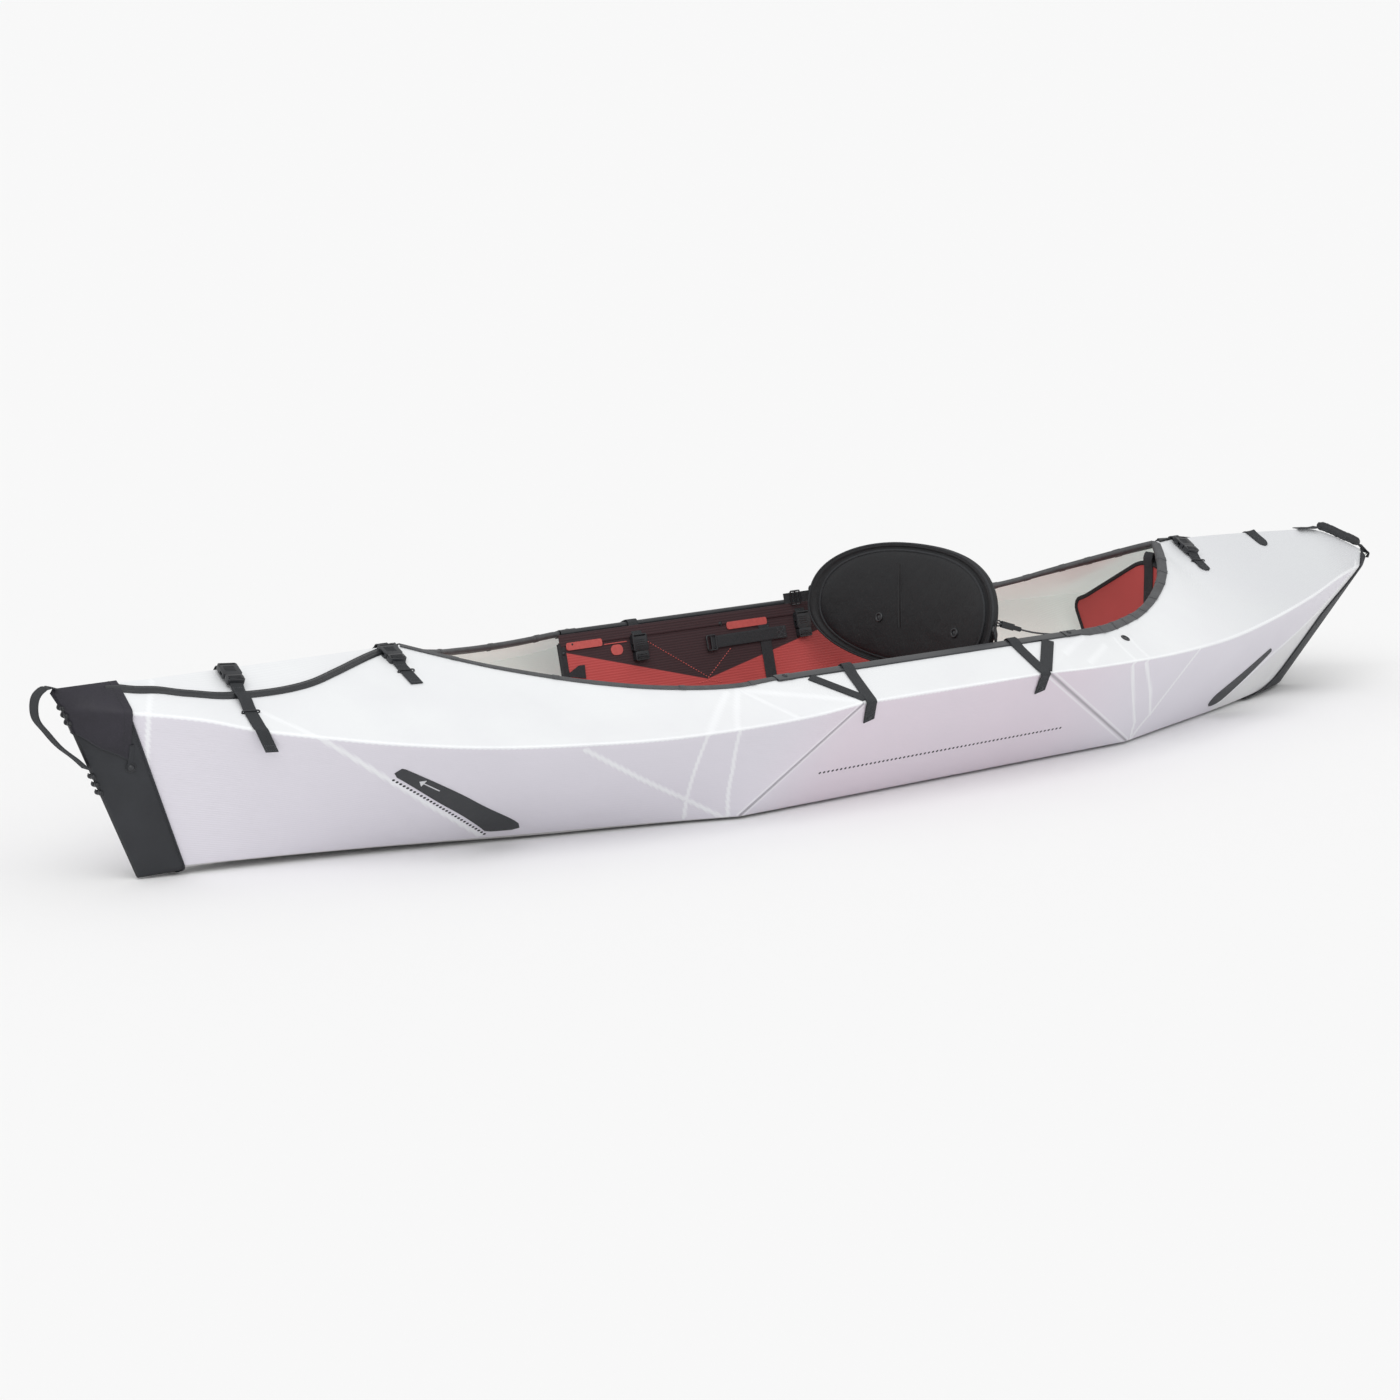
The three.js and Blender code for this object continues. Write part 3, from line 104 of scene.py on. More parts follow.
operations = {"__add__": "ADD", "__radd__": "ADD", "__sub__": "SUBTRACT", "__mul__": "MULTIPLY",
              "__rmul__": "MULTIPLY", "abs": "ABSOLUTE", "sin": "SINE", "sqrt": "SQRT", "fract": "FRACT",
              "least": "MINIMUM", "most": "MAXIMUM", "above": "GREATER_THAN", "below": "LESS_THAN"}
for method, operation in operations.items():
    setattr(Value, method, lambda self, *others, operation=operation: self.math(operation, *others))


def put(tree, slot, item):
    """Links a value to a node's input, or writes a plain one there."""
    if isinstance(item, Value):
        tree.links.new(item.socket, slot)
    else:
        slot.default_value = item


def linear(text):
    """A colour written as on screen, such as c8c8c8, in the shader's linear numbers."""
    parts = [int(text[i:i + 2], 16) / 255 for i in (0, 2, 4)]
    return tuple(c / 12.92 if c <= 0.04045 else ((c + 0.055) / 1.055) ** 2.4 for c in parts)


def shade(text, factor):
    return tuple(min(c * factor, 1.0) for c in linear(text))


class Finish:
    """A material and the nodes in it. Colours are screen colours."""

    def __init__(self, name, color, roughness, specular=0.5, metallic=0.0):
        self.material = bpy.data.materials.new(name)
        self.material.use_nodes = True
        self.material.diffuse_color = (*linear(color), 1)
        self.tree = self.material.node_tree
        self.shader = self.tree.nodes["Principled BSDF"]
        for key, value in (("Base Color", self.material.diffuse_color), ("Roughness", roughness),
                           ("Metallic", metallic), ("Specular IOR Level", specular)):
            self.shader.inputs[key].default_value = value

    def node(self, kind, output, **inputs):
        """Adds a node with these inputs, and gives the value of one output."""
        made = self.tree.nodes.new(kind)
        for key, item in inputs.items():
            put(self.tree, made.inputs[key], item)
        return Value(self.tree, made.outputs[output])

    def split(self, place):
        made = self.tree.nodes.new("ShaderNodeSeparateXYZ")
        put(self.tree, made.inputs[0], place)
        return [Value(self.tree, out) for out in made.outputs]

    def place(self):
        """Object coordinates: x, y, z in metres."""
        return self.split(self.node("ShaderNodeTexCoord", "Object"))

    def along(self):
        """The piece's own map: metres along and metres across."""
        return self.split(self.node("ShaderNodeUVMap", "UV"))[:2]

    def mark(self, name):
        """The number that the mesh keeps at each point under a name."""
        made = self.node("ShaderNodeAttribute", "Fac")
        made.socket.node.attribute_name = name
        return made

    def noise(self, scale, detail=2.0, roughness=0.5):
        return self.node("ShaderNodeTexNoise", "Fac", Vector=self.node("ShaderNodeTexCoord", "Object"),
                         Scale=scale, Detail=detail, Roughness=roughness)

    def blend(self, amount, under, over):
        made = self.tree.nodes.new("ShaderNodeMix")
        made.data_type = "RGBA"
        put(self.tree, made.inputs["Factor"], amount)
        for slot, item in ((made.inputs[6], under), (made.inputs[7], over)):
            item = linear(item) if isinstance(item, str) else item
            put(self.tree, slot, item if isinstance(item, Value) else (*item, 1))
        return Value(self.tree, made.outputs[2])

    def dress(self, color, rough=None, height=None, strength=1.0):
        """Joins the worked out colour, roughness and surface height to the shader."""
        put(self.tree, self.shader.inputs["Base Color"], color)
        if rough:
            put(self.tree, self.shader.inputs["Roughness"], rough.clamp())
        if height:
            bump = self.node("ShaderNodeBump", "Normal", Strength=strength, Distance=1.0, Height=height)
            put(self.tree, self.shader.inputs["Normal"], bump)


def speckled(name, color, roughness, specular, scale, detail, under, over, height, strength):
    """A finish that only wavers between two colours."""
    finish = Finish(name, color, roughness, specular)
    grain = finish.noise(scale, detail)
    finish.dress(finish.blend(grain, under, over), None, grain * height, strength)
    return finish


print("shader class ready")

# %% [markdown]
# ## Floor and sky
# The floor is a wide plain that fills the picture. Its colour, not more light, makes it pale.
# %% Floor, sky and suns
floor_reach, floor_level, sky_strength = 150.0, -0.0045, 0.78
floor_mesh = bpy.data.meshes.new("floor")
floor_mesh.from_pydata([(x * floor_reach, y * floor_reach, floor_level)
                        for x, y in ((-1, -1), (1, -1), (1, 1), (-1, 1))], [], [(0, 1, 2, 3)])
floor = bpy.data.objects.new("floor", floor_mesh)
floor_mesh.materials.append(Finish("pale_floor", "f1f1f1", 0.9, 0.0).material)
bpy.context.collection.objects.link(floor)

world = bpy.data.worlds.new("sky")
bpy.context.scene.world = world
world.use_nodes = True
world.node_tree.nodes["Background"].inputs["Color"].default_value = (1, 1, 1, 1)
world.node_tree.nodes["Background"].inputs["Strength"].default_value = sky_strength
for name, strength, angle, turn in (("key", 0.95, 50, (38, 8, -62)), ("fill", 0.35, 70, (62, 0, -10))):
    sun_data = bpy.data.lights.new(name, "SUN")
    sun_data.energy, sun_data.angle = strength, math.radians(angle)
    sun = bpy.data.objects.new(name, sun_data)
    sun.rotation_euler = [math.radians(v) for v in turn]
    bpy.context.collection.objects.link(sun)
print("stage ready")

# %% [markdown]
# ## The curves of the hull
# Every edge of the sheet follows a few long curves: the foot along the bottom, the chine where side and
# deck meet, the ridge of each deck and the rim of the cockpit. Each is a table of shares,
# smoothed between its rows, and the CAD part uses the same tables.
# %% Sizes and tables
half_beam, depth, sheet = 0.380, 0.300, 0.0046
stem_chine, stem_top, stem_foot = -1.430, -1.450, -1.310
bow_apex, rail_front, rail_rear, stern_apex = -0.820, -0.300, 0.420, 0.873
tail_chine, tail_top, tail_foot = 1.440, 1.455, 1.215
fold_top, fold_foot, rear_fold_top, rear_fold_foot = -0.175, -0.340, 0.238, 0.580
rail_half, rail_height, fold_height = half_beam * 0.737, depth * 0.743, depth * 0.617
front_foot_half, rear_foot_half, keel_drop = half_beam * 0.69, half_beam * 0.59, 0.012

bow_chine_rows = [
    [0, 0.008, 0.9], [0.06, 0.13, 0.88], [0.14, 0.265, 0.83], [0.2, 0.37, 0.765], [0.27, 0.5, 0.715],
    [0.35, 0.635, 0.665], [0.45, 0.76, 0.618], [0.55, 0.85, 0.592], [0.68, 0.92, 0.567],
    [0.8, 0.96, 0.566], [0.92, 0.985, 0.583], [1, 1, 0.617]]
stern_chine_rows = [
    [0, 1, 0.617], [0.08, 0.98, 0.6], [0.18, 0.935, 0.583], [0.3, 0.87, 0.57], [0.45, 0.74, 0.563],
    [0.6, 0.58, 0.59], [0.75, 0.405, 0.64], [0.88, 0.22, 0.685], [1, 0.008, 0.67]]
bow_foot_rows = [
    [0, 0.012, 0.1], [0.1, 0.115, 0.8], [0.2, 0.19, 0.73], [0.3, 0.27, 0.6], [0.4, 0.36, 0.46],
    [0.5, 0.46, 0.3], [0.6, 0.56, 0.1], [0.68, 0.64, 0], [0.8, 0.76, 0], [0.9, 0.87, 0], [1, 1, 0]]
stern_foot_rows = [
    [0, 1, 0], [0.2, 0.82, 0], [0.4, 0.645, 0], [0.55, 0.512, 0], [0.7, 0.38, 0.2], [0.85, 0.24, 0.42],
    [0.94, 0.135, 0.42], [1, 0.0135, 0.1]]
front_rim_rows = [
    [0, 0, 1], [0.1, 0.155, 0.78], [0.2, 0.3, 0.58], [0.3, 0.45, 0.42], [0.4, 0.59, 0.28],
    [0.5, 0.715, 0.17], [0.6, 0.815, 0.08], [0.7, 0.89, 0.02], [0.8, 0.95, -0.02], [0.9, 0.99, -0.03],
    [1, 1, 0]]
rear_rim_rows = [
    [0, 1, 0], [0.12, 0.95, -0.03], [0.25, 0.86, -0.05], [0.4, 0.745, -0.05], [0.5, 0.665, -0.02],
    [0.6, 0.585, 0.1], [0.7, 0.49, 0.28], [0.8, 0.37, 0.48], [0.88, 0.245, 0.67], [0.95, 0.11, 0.86],
    [1, 0, 1]]
stern_ridge_rows = [
    [0, 1], [0.2, 0.995], [0.4, 0.98], [0.6, 0.96], [0.72, 0.945], [0.8, 0.905], [0.9, 0.83], [1, 0.745]]
seam_rows = [
    [0, 0], [0.15, 0.16], [0.25, 0.4], [0.35, 0.72], [0.45, 0.92], [0.55, 1], [0.65, 0.93],
    [0.75, 0.68], [0.87, 0.33], [0.95, 0.13], [1, 0]]
seam_overlap = 0.072


def smooth_row(table, t, column):
    """A table's column at share t, on a cubic through its rows."""
    table = np.asarray(table)
    k = int(np.clip(np.searchsorted(table[:, 0], t, side="left") - 1, 0, len(table) - 2))
    a, b = table[k], table[k + 1]
    before, after = table[max(k - 1, 0)], table[min(k + 2, len(table) - 1)]
    span = b[0] - a[0]
    slope_a = (b[column] - before[column]) / (b[0] - before[0])
    slope_b = (after[column] - a[column]) / (after[0] - a[0])
    u = min(max((t - a[0]) / span, 0), 1)
    return ((2 * u**3 - 3 * u**2 + 1) * a[column] + (u**3 - 2 * u**2 + u) * span * slope_a
            + (3 * u**2 - 2 * u**3) * b[column] + (u**3 - u**2) * span * slope_b)


def mix(a, b, t):
    return a + (b - a) * t


def point(x, y, z):
    return np.array([x, y, z], dtype=float)


def curve(table, from_x, to_x, half_width, low, high):
    """The long curve of a table of shares: how wide it is, and how high between two levels."""
    return lambda t: point(mix(from_x, to_x, t), smooth_row(table, t, 1) * half_width,
                           mix(low, high, smooth_row(table, t, 2)))


chine_bow = curve(bow_chine_rows, stem_chine, fold_top, half_beam, 0, depth)
chine_stern = curve(stern_chine_rows, rear_fold_top, tail_chine, half_beam, 0, depth)
foot_bow = curve(bow_foot_rows, stem_foot, fold_foot, front_foot_half, 0, keel_drop)
foot_stern = curve(stern_foot_rows, rear_fold_foot, tail_foot, rear_foot_half, 0, keel_drop)
rim_front = curve(front_rim_rows, bow_apex, rail_front, rail_half, rail_height, depth)
rim_rear = curve(rear_rim_rows, rail_rear, stern_apex, rail_half, rail_height, depth)


def ridge_bow(t):
    return point(mix(stem_top, bow_apex, t), 0, depth)


def ridge_stern(t):
    return point(mix(stern_apex, tail_top, t), 0, smooth_row(stern_ridge_rows, t, 1) * depth)


def seam_point(ridge, chine, t, side):
    offset = smooth_row(seam_rows, t, 1) * seam_overlap
    down = offset / max(chine[1], offset, 1e-9)
    return point(mix(ridge[0], chine[0], down), side * offset, mix(ridge[2], chine[2], down))


bow_apex_chine = (bow_apex + 0.020 - stem_chine) / (fold_top - stem_chine)
bow_apex_foot = (bow_apex + 0.030 - stem_foot) / (fold_foot - stem_foot)
stern_apex_chine = (stern_apex - 0.020 - rear_fold_top) / (tail_chine - rear_fold_top)
stern_apex_foot = (stern_apex - 0.025 - rear_fold_foot) / (tail_foot - rear_fold_foot)
print("curves meet at", chine_bow(1).round(3), chine_stern(0).round(3))

# %% [markdown]
# ## The hull as one sheet
# The real hull is a single sheet, folded. So the visual hull is one mesh too: cross sections run from
# one edge of the sheet over chine, foot and keel to the other edge, and some three hundred of them stand
# along the boat. Each fold is rounded by a few millimetres, as scored plastic is. Solidify gives the wall.
# %% Helpers for meshes
LEFT, RIGHT = -1, 1
side_names = {LEFT: "left", RIGHT: "right"}
along_x, along_y, along_z = np.eye(3)
flip_y = point(1, -1, 1)


def unit(vector):
    vector = np.asarray(vector, dtype=float)
    return vector / max(np.linalg.norm(vector), 1e-12)


touching, vanishing = 2e-5, 1e-6


def make_outward(mesh, welded=False):
    """Turns every face outward, and first joins points that meet where asked."""
    work = bmesh.new()
    work.from_mesh(mesh)
    if welded:
        bmesh.ops.remove_doubles(work, verts=work.verts, dist=touching)
        bmesh.ops.dissolve_degenerate(work, edges=work.edges, dist=vanishing)
    bmesh.ops.recalc_face_normals(work, faces=work.faces)
    work.to_mesh(mesh)
    work.free()


def shade_smooth(mesh, angle):
    mesh.shade_smooth()
    mesh.set_sharp_from_angle(angle=math.radians(angle))


def bare_piece(name, points, faces, finish, uvs=None, angle=32.0):
    """A mesh object at the origin, shaded smooth with sharp edges kept."""
    mesh = bpy.data.meshes.new(name)
    mesh.from_pydata([tuple(map(float, p)) for p in points], [], [tuple(map(int, f)) for f in faces])
    if uvs:
        layer = mesh.uv_layers.new(name="UVMap")
        loops = np.zeros(len(mesh.loops), dtype=np.int32)
        mesh.loops.foreach_get("vertex_index", loops)
        layer.data.foreach_set("uv", np.asarray(uvs, dtype=np.float32)[loops].ravel())
    mesh.validate()
    piece = bpy.data.objects.new(name, mesh)
    bpy.context.collection.objects.link(piece)
    mesh.materials.append(finish.material)
    shade_smooth(mesh, angle)
    return piece


def place_piece(piece, body, replaces):
    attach(piece, body)
    if replaces:
        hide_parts(replaces)


def new_piece(name, solid, finish, body="hull", angle=32.0, replaces=None):
    """A closed solid of points, faces and, where its finish needs one, a map."""
    piece = bare_piece(name, *solid[:2], finish, solid[2] if len(solid) > 2 else None, angle)
    make_outward(piece.data)
    place_piece(piece, body, replaces)
    return piece


def apply_modifiers(piece):
    """Bakes a piece's modifiers into its mesh."""
    graph = bpy.context.evaluated_depsgraph_get()
    graph.update()
    baked = bpy.data.meshes.new_from_object(piece.evaluated_get(graph), depsgraph=graph)
    old = piece.data
    piece.modifiers.clear()
    piece.data = baked
    baked.name = piece.name
    bpy.data.meshes.remove(old)


def grid_faces(rows, columns, start=0, flip=False, wrap=False):
    faces = []
    for i in range(rows - 1):
        for j in range(columns if wrap else columns - 1):
            a, b = start + i * columns + j, start + i * columns + (j + 1) % columns
            c, d = b + columns, a + columns
            faces.append((a, d, c, b) if flip else (a, b, c, d))
    return faces


def tube_faces(rings, count):
    """Faces of a tube of rings, with a cap at each end."""
    caps = [tuple(range(count)), tuple((rings - 1) * count + k for k in reversed(range(count)))]
    return grid_faces(rings, count, wrap=True) + caps


def joined(parts):
    """Several solids as one."""
    points, faces, uvs = [], [], []
    for p, f, *m in parts:
        faces += [tuple(i + len(points) for i in face) for face in f]
        points += list(p)
        uvs += list(m[0]) if m else []
    return points, faces, uvs


print("mesh helpers ready")

# %% Cross sections
fold_radius, most_of_edge = 0.005, 0.3


def rounded(corners, counts):
    """A polyline through corners, each inner one rounded, with the given number of spans per edge."""
    out = []
    for i, count in enumerate(counts):
        a, b = corners[i], corners[i + 1]
        length = np.linalg.norm(b - a)
        trim = min(fold_radius, length * most_of_edge)
        trim_a, trim_b = trim * (i > 0), trim * (i < len(counts) - 1)
        direction = (b - a) / max(length, 1e-9)
        start, end = a + direction * trim_a, b - direction * trim_b
        for k in range(count + 1):
            out.append(start + (end - start) * k / count)
        if i < len(counts) - 1:
            after = corners[i + 2] - b
            reach = np.linalg.norm(after)
            leave = b + after / max(reach, 1e-9) * min(fold_radius, reach * most_of_edge)
            for s in (0.25, 0.5, 0.75):
                out.append((1 - s)**2 * end + 2 * s * (1 - s) * b + s**2 * leave)
    return np.array(out)


def section_at(zone, q):
    """Foot, chine and the left and right edge of the sheet at share q of a zone."""
    if zone == "bow":
        chine, foot, top = chine_bow(bow_apex_chine * q), foot_bow(bow_apex_foot * q), ridge_bow(q)
        return foot, chine, seam_point(top, chine, q, LEFT), top
    if zone == "front":
        chine, foot = chine_bow(mix(bow_apex_chine, 1, q)), foot_bow(mix(bow_apex_foot, 1, q))
        rim = rim_front(q)
    elif zone == "mid":
        foot = point(mix(fold_foot, rear_fold_foot, q), mix(front_foot_half, rear_foot_half, q), 0)
        chine = mix(chine_bow(1), chine_stern(0), q)
        rim = mix(rim_front(1), rim_rear(0), q)
    elif zone == "rear":
        chine, foot = chine_stern(stern_apex_chine * q), foot_stern(stern_apex_foot * q)
        rim = rim_rear(q)
    else:
        chine, foot = chine_stern(mix(stern_apex_chine, 1, q)), foot_stern(mix(stern_apex_foot, 1, q))
        top = ridge_stern(q)
        return foot, chine, top, seam_point(top, chine, q, RIGHT)
    return foot, chine, rim * flip_y, rim


side_spans, deck_spans, floor_spans = 12, 12, 8
zone_columns = {"bow": 84, "front": 56, "mid": 40, "rear": 56, "stern": 72}
end_crowding = 1.15
sections, stops = [], []
for zone, count in zone_columns.items():
    for k in range(0 if zone == "bow" else 1, count + 1):
        q = k / count
        if zone == "bow":
            q = q**end_crowding
        if zone == "stern":
            q = 1 - (1 - q)**end_crowding
        foot, chine, left_top, right_top = section_at(zone, q)
        corners = [left_top, chine * flip_y, foot * flip_y, foot * along_x, foot, chine, right_top]
        sections.append(rounded(corners, [deck_spans, side_spans, floor_spans, floor_spans, side_spans,
                                          deck_spans]))
        stops.append((zone, q))
sections = np.array(sections)
rows, columns = sections.shape[:2]
print("hull grid", rows, "by", columns)

# %% [markdown]
# The lapped strip of each deck, from the ridge over to the seam, is a second small grid that shares the
# ridge with the first.
# %% Hull mesh
sheet_points = list(sections.reshape(-1, 3))
sheet_faces = grid_faces(rows, columns)
steps_across = np.linalg.norm(np.diff(sections, axis=1), axis=2)
arc_across = np.concatenate([np.zeros((rows, 1)), np.cumsum(steps_across, axis=1)], axis=1)
arc_across -= arc_across[:, [columns // 2]]
sheet_uvs = [(sections[i, j, 0], arc_across[i, j]) for i in range(rows) for j in range(columns)]
lap_spans, lap_map_start, lap_map_step = 5, 0.45, 0.01
for zone, side in (("bow", LEFT), ("stern", RIGHT)):
    lap = []
    for name, q in stops:
        last_rear = zone == "stern" and (name, q) == ("rear", 1.0)
        if name == zone or last_rear:
            tops = section_at(zone, 0.0 if last_rear else q)[2:]
            ridge, seam = tops[::side]
            for k in range(lap_spans + 1):
                lap.append(mix(ridge, seam, k / lap_spans))
                sheet_uvs.append((lap[-1][0], (lap_map_start + k * lap_map_step) * -side))
    sheet_faces += grid_faces(len(lap) // (lap_spans + 1), lap_spans + 1, len(sheet_points),
                              flip=(side == RIGHT))
    sheet_points += lap

hull_finish = Finish("white_twin_wall_sheet", "e4e4e6", 0.42, 0.45)
inner_finish = Finish("sheet_inner_face", "e2e0da", 0.5, 0.35)
hull = bare_piece("hull_sheet", sheet_points, sheet_faces, hull_finish, sheet_uvs)

# Two marks for the finish: 1 on the sides and 0 on the decks, and the distance from the chine
first_side = deck_spans + 3
last_side = columns - 1 - first_side
side_share, chine_gap = np.zeros(len(sheet_points)), np.ones(len(sheet_points))
for j in range(columns):
    ids = np.arange(rows) * columns + j
    side_share[ids] = 1.0 if first_side <= j <= last_side else 0.0
    chine_gap[ids] = np.min([abs(arc_across[:, j] - arc_across[:, c])
                             for c in (first_side - 1, last_side + 1)], axis=0)
for name, values in (("side_share", side_share), ("chine_gap", chine_gap)):
    layer = hull.data.attributes.new(name, "FLOAT", "POINT")
    layer.data.foreach_set("value", values.astype(np.float32))
weld_gap, hull_angle = 0.0002, 40
hull.modifiers.new("weld", "WELD").merge_threshold = weld_gap
apply_modifiers(hull)
hull.data.shade_smooth()
hull_tree = BVHTree.FromPolygons([v.co.copy() for v in hull.data.vertices],
                                 [tuple(p.vertices) for p in hull.data.polygons])
outward = sum(p.normal.dot(p.center - Vector((p.center.x * 0.9, 0, 0.12))) > 0 for p in hull.data.polygons)
print("faces that point out", outward, "of", len(hull.data.polygons))
wall = hull.modifiers.new("wall", "SOLIDIFY")
wall.thickness, wall.offset = sheet, -1
wall.use_even_offset = False
wall.material_offset = 1
hull.data.materials.append(inner_finish.material)
apply_modifiers(hull)
shade_smooth(hull.data, hull_angle)
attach(hull, "hull")
panel_kinds = [(end, kind) for end in ("bow", "mid", "stern") for kind in ("side", "deck", "topside")]
hull_nodes = [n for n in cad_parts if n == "bottom_panel"
              or n.endswith(("_left", "_right")) and tuple(n.split("_")[:2]) in panel_kinds]
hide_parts(*hull_nodes)
print("hull sheet replaces", len(hull_nodes), "panels;", len(hull.data.polygons), "faces")

# %% [markdown]
# ## The white sheet's look
# Twin-wall plastic is two thin skins on fine lengthwise flutes. The flutes show as faint lines, and folds
# that were once made show as pale creases with painted highlights. Painted shade makes the sides a little
# darker than the deck, outside and in. A painted glow of the red boards through the wall tints the sides
# lilac, most in their middle. Painted shade also darkens the fold grooves and a band along the foot, with
# painted highlights along the chine and beside the grooves. The creases are drawn by distance from short
# straight lines, set in x and height.
# %% Flutes and creases
creases = (
    ((-0.385, 0.213), (-0.486, 0.168), (-0.433, 0.008)),
    ((-0.365, 0.214), (-0.427, 0.172), (-0.387, 0.089), (-0.360, 0.004)),
    ((-0.702, 0.166), (-0.561, 0.096), (-0.435, 0.037), (-0.364, 0.000)),
    ((-0.361, 0.214), (-0.307, 0.174)), ((-0.353, 0.213), (-0.180, 0.188)),
    ((0.596, 0.000), (0.635, 0.048), (0.673, 0.166)),
    ((0.485, 0.203), (0.468, 0.166), (0.588, 0.036), (0.596, 0.000)),
    ((0.527, 0.198), (0.506, 0.166), (0.583, 0.098), (0.633, 0.043)),
    ((0.320, 0.202), (0.400, 0.216)), ((0.355, 0.186), (0.439, 0.199)),
    ((0.917, 0.016), (1.060, 0.083), (1.251, 0.142), (1.405, 0.212)),
    ((-1.151, 0.249), (-1.101, 0.215), (-0.995, 0.145), (-0.892, 0.081), (-0.773, 0.012)),
    ((-1.280, 0.297), (-1.309, 0.276), (-1.325, 0.261), (-1.315, 0.173)))
grooves = (((-0.340, 0.002), (-0.178, 0.183)), ((0.580, 0.002), (0.240, 0.183)))
flute_pitch, wander_pitch, teeth_pitch, crease_width, groove_width = 0.0042, 0.0085, 0.009, 0.0056, 0.0036


def nearest(u, v, lines):
    """Distance of the point (u, v) from the nearest of some broken lines, as a shader value."""
    found = None
    for line in lines:
        for (ax, ay), (bx, by) in zip(line, line[1:]):
            dx, dy = bx - ax, by - ay
            px, py = u - ax, v - ay
            t = ((px * dx + py * dy) * (1 / (dx * dx + dy * dy))).clamp()
            ex, ey = px - t * dx, py - t * dy
            gap = (ex * ex + ey * ey).sqrt()
            found = gap if found is None else found.least(gap)
    return found


def dress_hull(finish, bright, dark, outside):
    x, y, z = finish.place()
    along, across = finish.along()
    side = finish.mark("side_share")
    mottle = finish.noise(9.0, 3.0) - 0.5
    flute = across.wave(flute_pitch)
    # Painted shade: the sides are painted darker than the deck
    tone = finish.blend(side, bright, dark)
    crease = nearest(x, z, creases) + (x + z).wave(wander_pitch) * 0.0008
    # Painted highlight: the creases are pale lines in the colour, and a low ridge in the bump
    pale = crease.fade(0.0006, crease_width)
    groove = nearest(x, z, grooves)
    # Painted shade in the fold grooves; the same mask also sinks them in the bump
    groove_shade_and_dip = groove.fade(0.0004, groove_width)
    if outside:
        # Painted highlight along the chine, with small teeth
        edge = (finish.mark("chine_gap") + along.wave(teeth_pitch) * 0.0012 * 0.5).fade(0.0012, 0.0055)
        # Painted highlights along both sides of each groove
        groove_highlight = (groove - groove_width * 1.5).abs().fade(0.0003, 0.0022)
        # The stern's lower side facet gets a more neutral painted shade
        stern_facet_shade = (x * 0.402 - 0.3526 - z).above(0.0) * (x - 0.9).above(0.0) * side
        for amount, color in (
                # Painted glow: a lilac tint on the middle of the sides, for the red boards seen through the
                # thin wall
                (x.fade(0.25, 0.60) * (1 - x.fade(-0.36, -0.15)) * side * 0.55, "dccbd6"),
                ((1 - x.fade(0.60, 1.10)) * (1 - side), "d3d5d7"),
                (stern_facet_shade * 0.8, "dcdddc"),
                ((pale * 0.75 + edge * 0.85).clamp(), shade(bright, 1.10)),
                (groove_highlight * 0.5, shade(bright, 1.10)),
                (groove_shade_and_dip * 0.75, shade(dark, 0.34)),
                # Painted shade: a grey band along the foot of the sides, wider towards the bow
                ((z + (x + 1.24) * 0.011).fade(0.0105, 0.0122) * side * 0.85, "b4b4b1")):
            tone = finish.blend(amount, tone, color)
    tone = finish.blend((mottle * 0.4 + flute * 0.05 + 0.1).clamp(), tone, shade(dark, 0.9))
    finish.dress(tone, 0.40 + mottle * 0.12,
                 flute * 0.00010 + mottle * 0.0012 + pale * 0.0007 - groove_shade_and_dip * 0.0022, 0.55)


dress_hull(hull_finish, "e9ebec", "dbd8e0", True)
dress_hull(inner_finish, "e2e0da", "d9d6cf", False)
# Daylight comes through the thin wall; a painted glow on the inner face stands in for it
painted_glow_tint, glow = (0.84, 1.0, 1.0, 1), 0.23
inner_finish.shader.inputs["Emission Color"].default_value = painted_glow_tint
inner_finish.shader.inputs["Emission Strength"].default_value = glow
print("creases", len(creases), "grooves", len(grooves))

# %% [markdown]
# ## Materials of the fittings
# Each black thing on the boat is a different black: soft woven webbing, satin rubbery binding, smooth
# moulded plastic, matt neoprene and a nylon cover with a fine grid. Red is the same twin-wall sheet.
# %% Webbing, binding and plastics
thread_pitch, chevron_pitch = 0.0021, 0.0042
webbing_finish = Finish("black_webbing", "35373a", 0.78, 0.3)
u, v = webbing_finish.along()
chevron = ((v * (1 / chevron_pitch)).fract() - 0.5).abs() * chevron_pitch
weave, rows_across, fuzz = (u + chevron).wave(thread_pitch), v.wave(thread_pitch), webbing_finish.noise(900.0)
webbing_finish.dress(
    webbing_finish.blend((weave * 0.28 + rows_across * 0.12 + fuzz * 0.5 + 0.2).clamp(), "1e2022", "4a4c4f"),
    0.72 + fuzz * 0.16, weave * 0.00022 + rows_across * 0.00012 + fuzz * 0.0001, 0.8)

binding_finish = Finish("dark_edge_binding", "48494b", 0.5, 0.4)
ribs, wrinkles = binding_finish.along()[0].wave(0.0026), binding_finish.noise(60.0, 4.0, 0.6)
scuff = binding_finish.noise(420.0, 3.0)
binding_finish.dress(
    binding_finish.blend((ribs * 0.10 + wrinkles * 0.7 + scuff * 0.4 - 0.1).clamp(), "2f3032", "636466"),
    0.40 + scuff * 0.25, ribs * 0.00012 + wrinkles * 0.0012 + scuff * 0.0002, 0.7)

rail_finish = Finish("black_rail_plastic", "3c3d40", 0.38, 0.45)
grain, streak = rail_finish.noise(700.0, 3.0), rail_finish.noise(24.0, 4.0, 0.7)
rail_finish.dress(rail_finish.blend((grain * 0.5 + streak * 0.5).clamp(), "222326", "404245"),
                  0.22 + streak * 0.2, grain * 0.00012 + rail_finish.along()[1].wave(0.003) * 0.00006, 0.6)

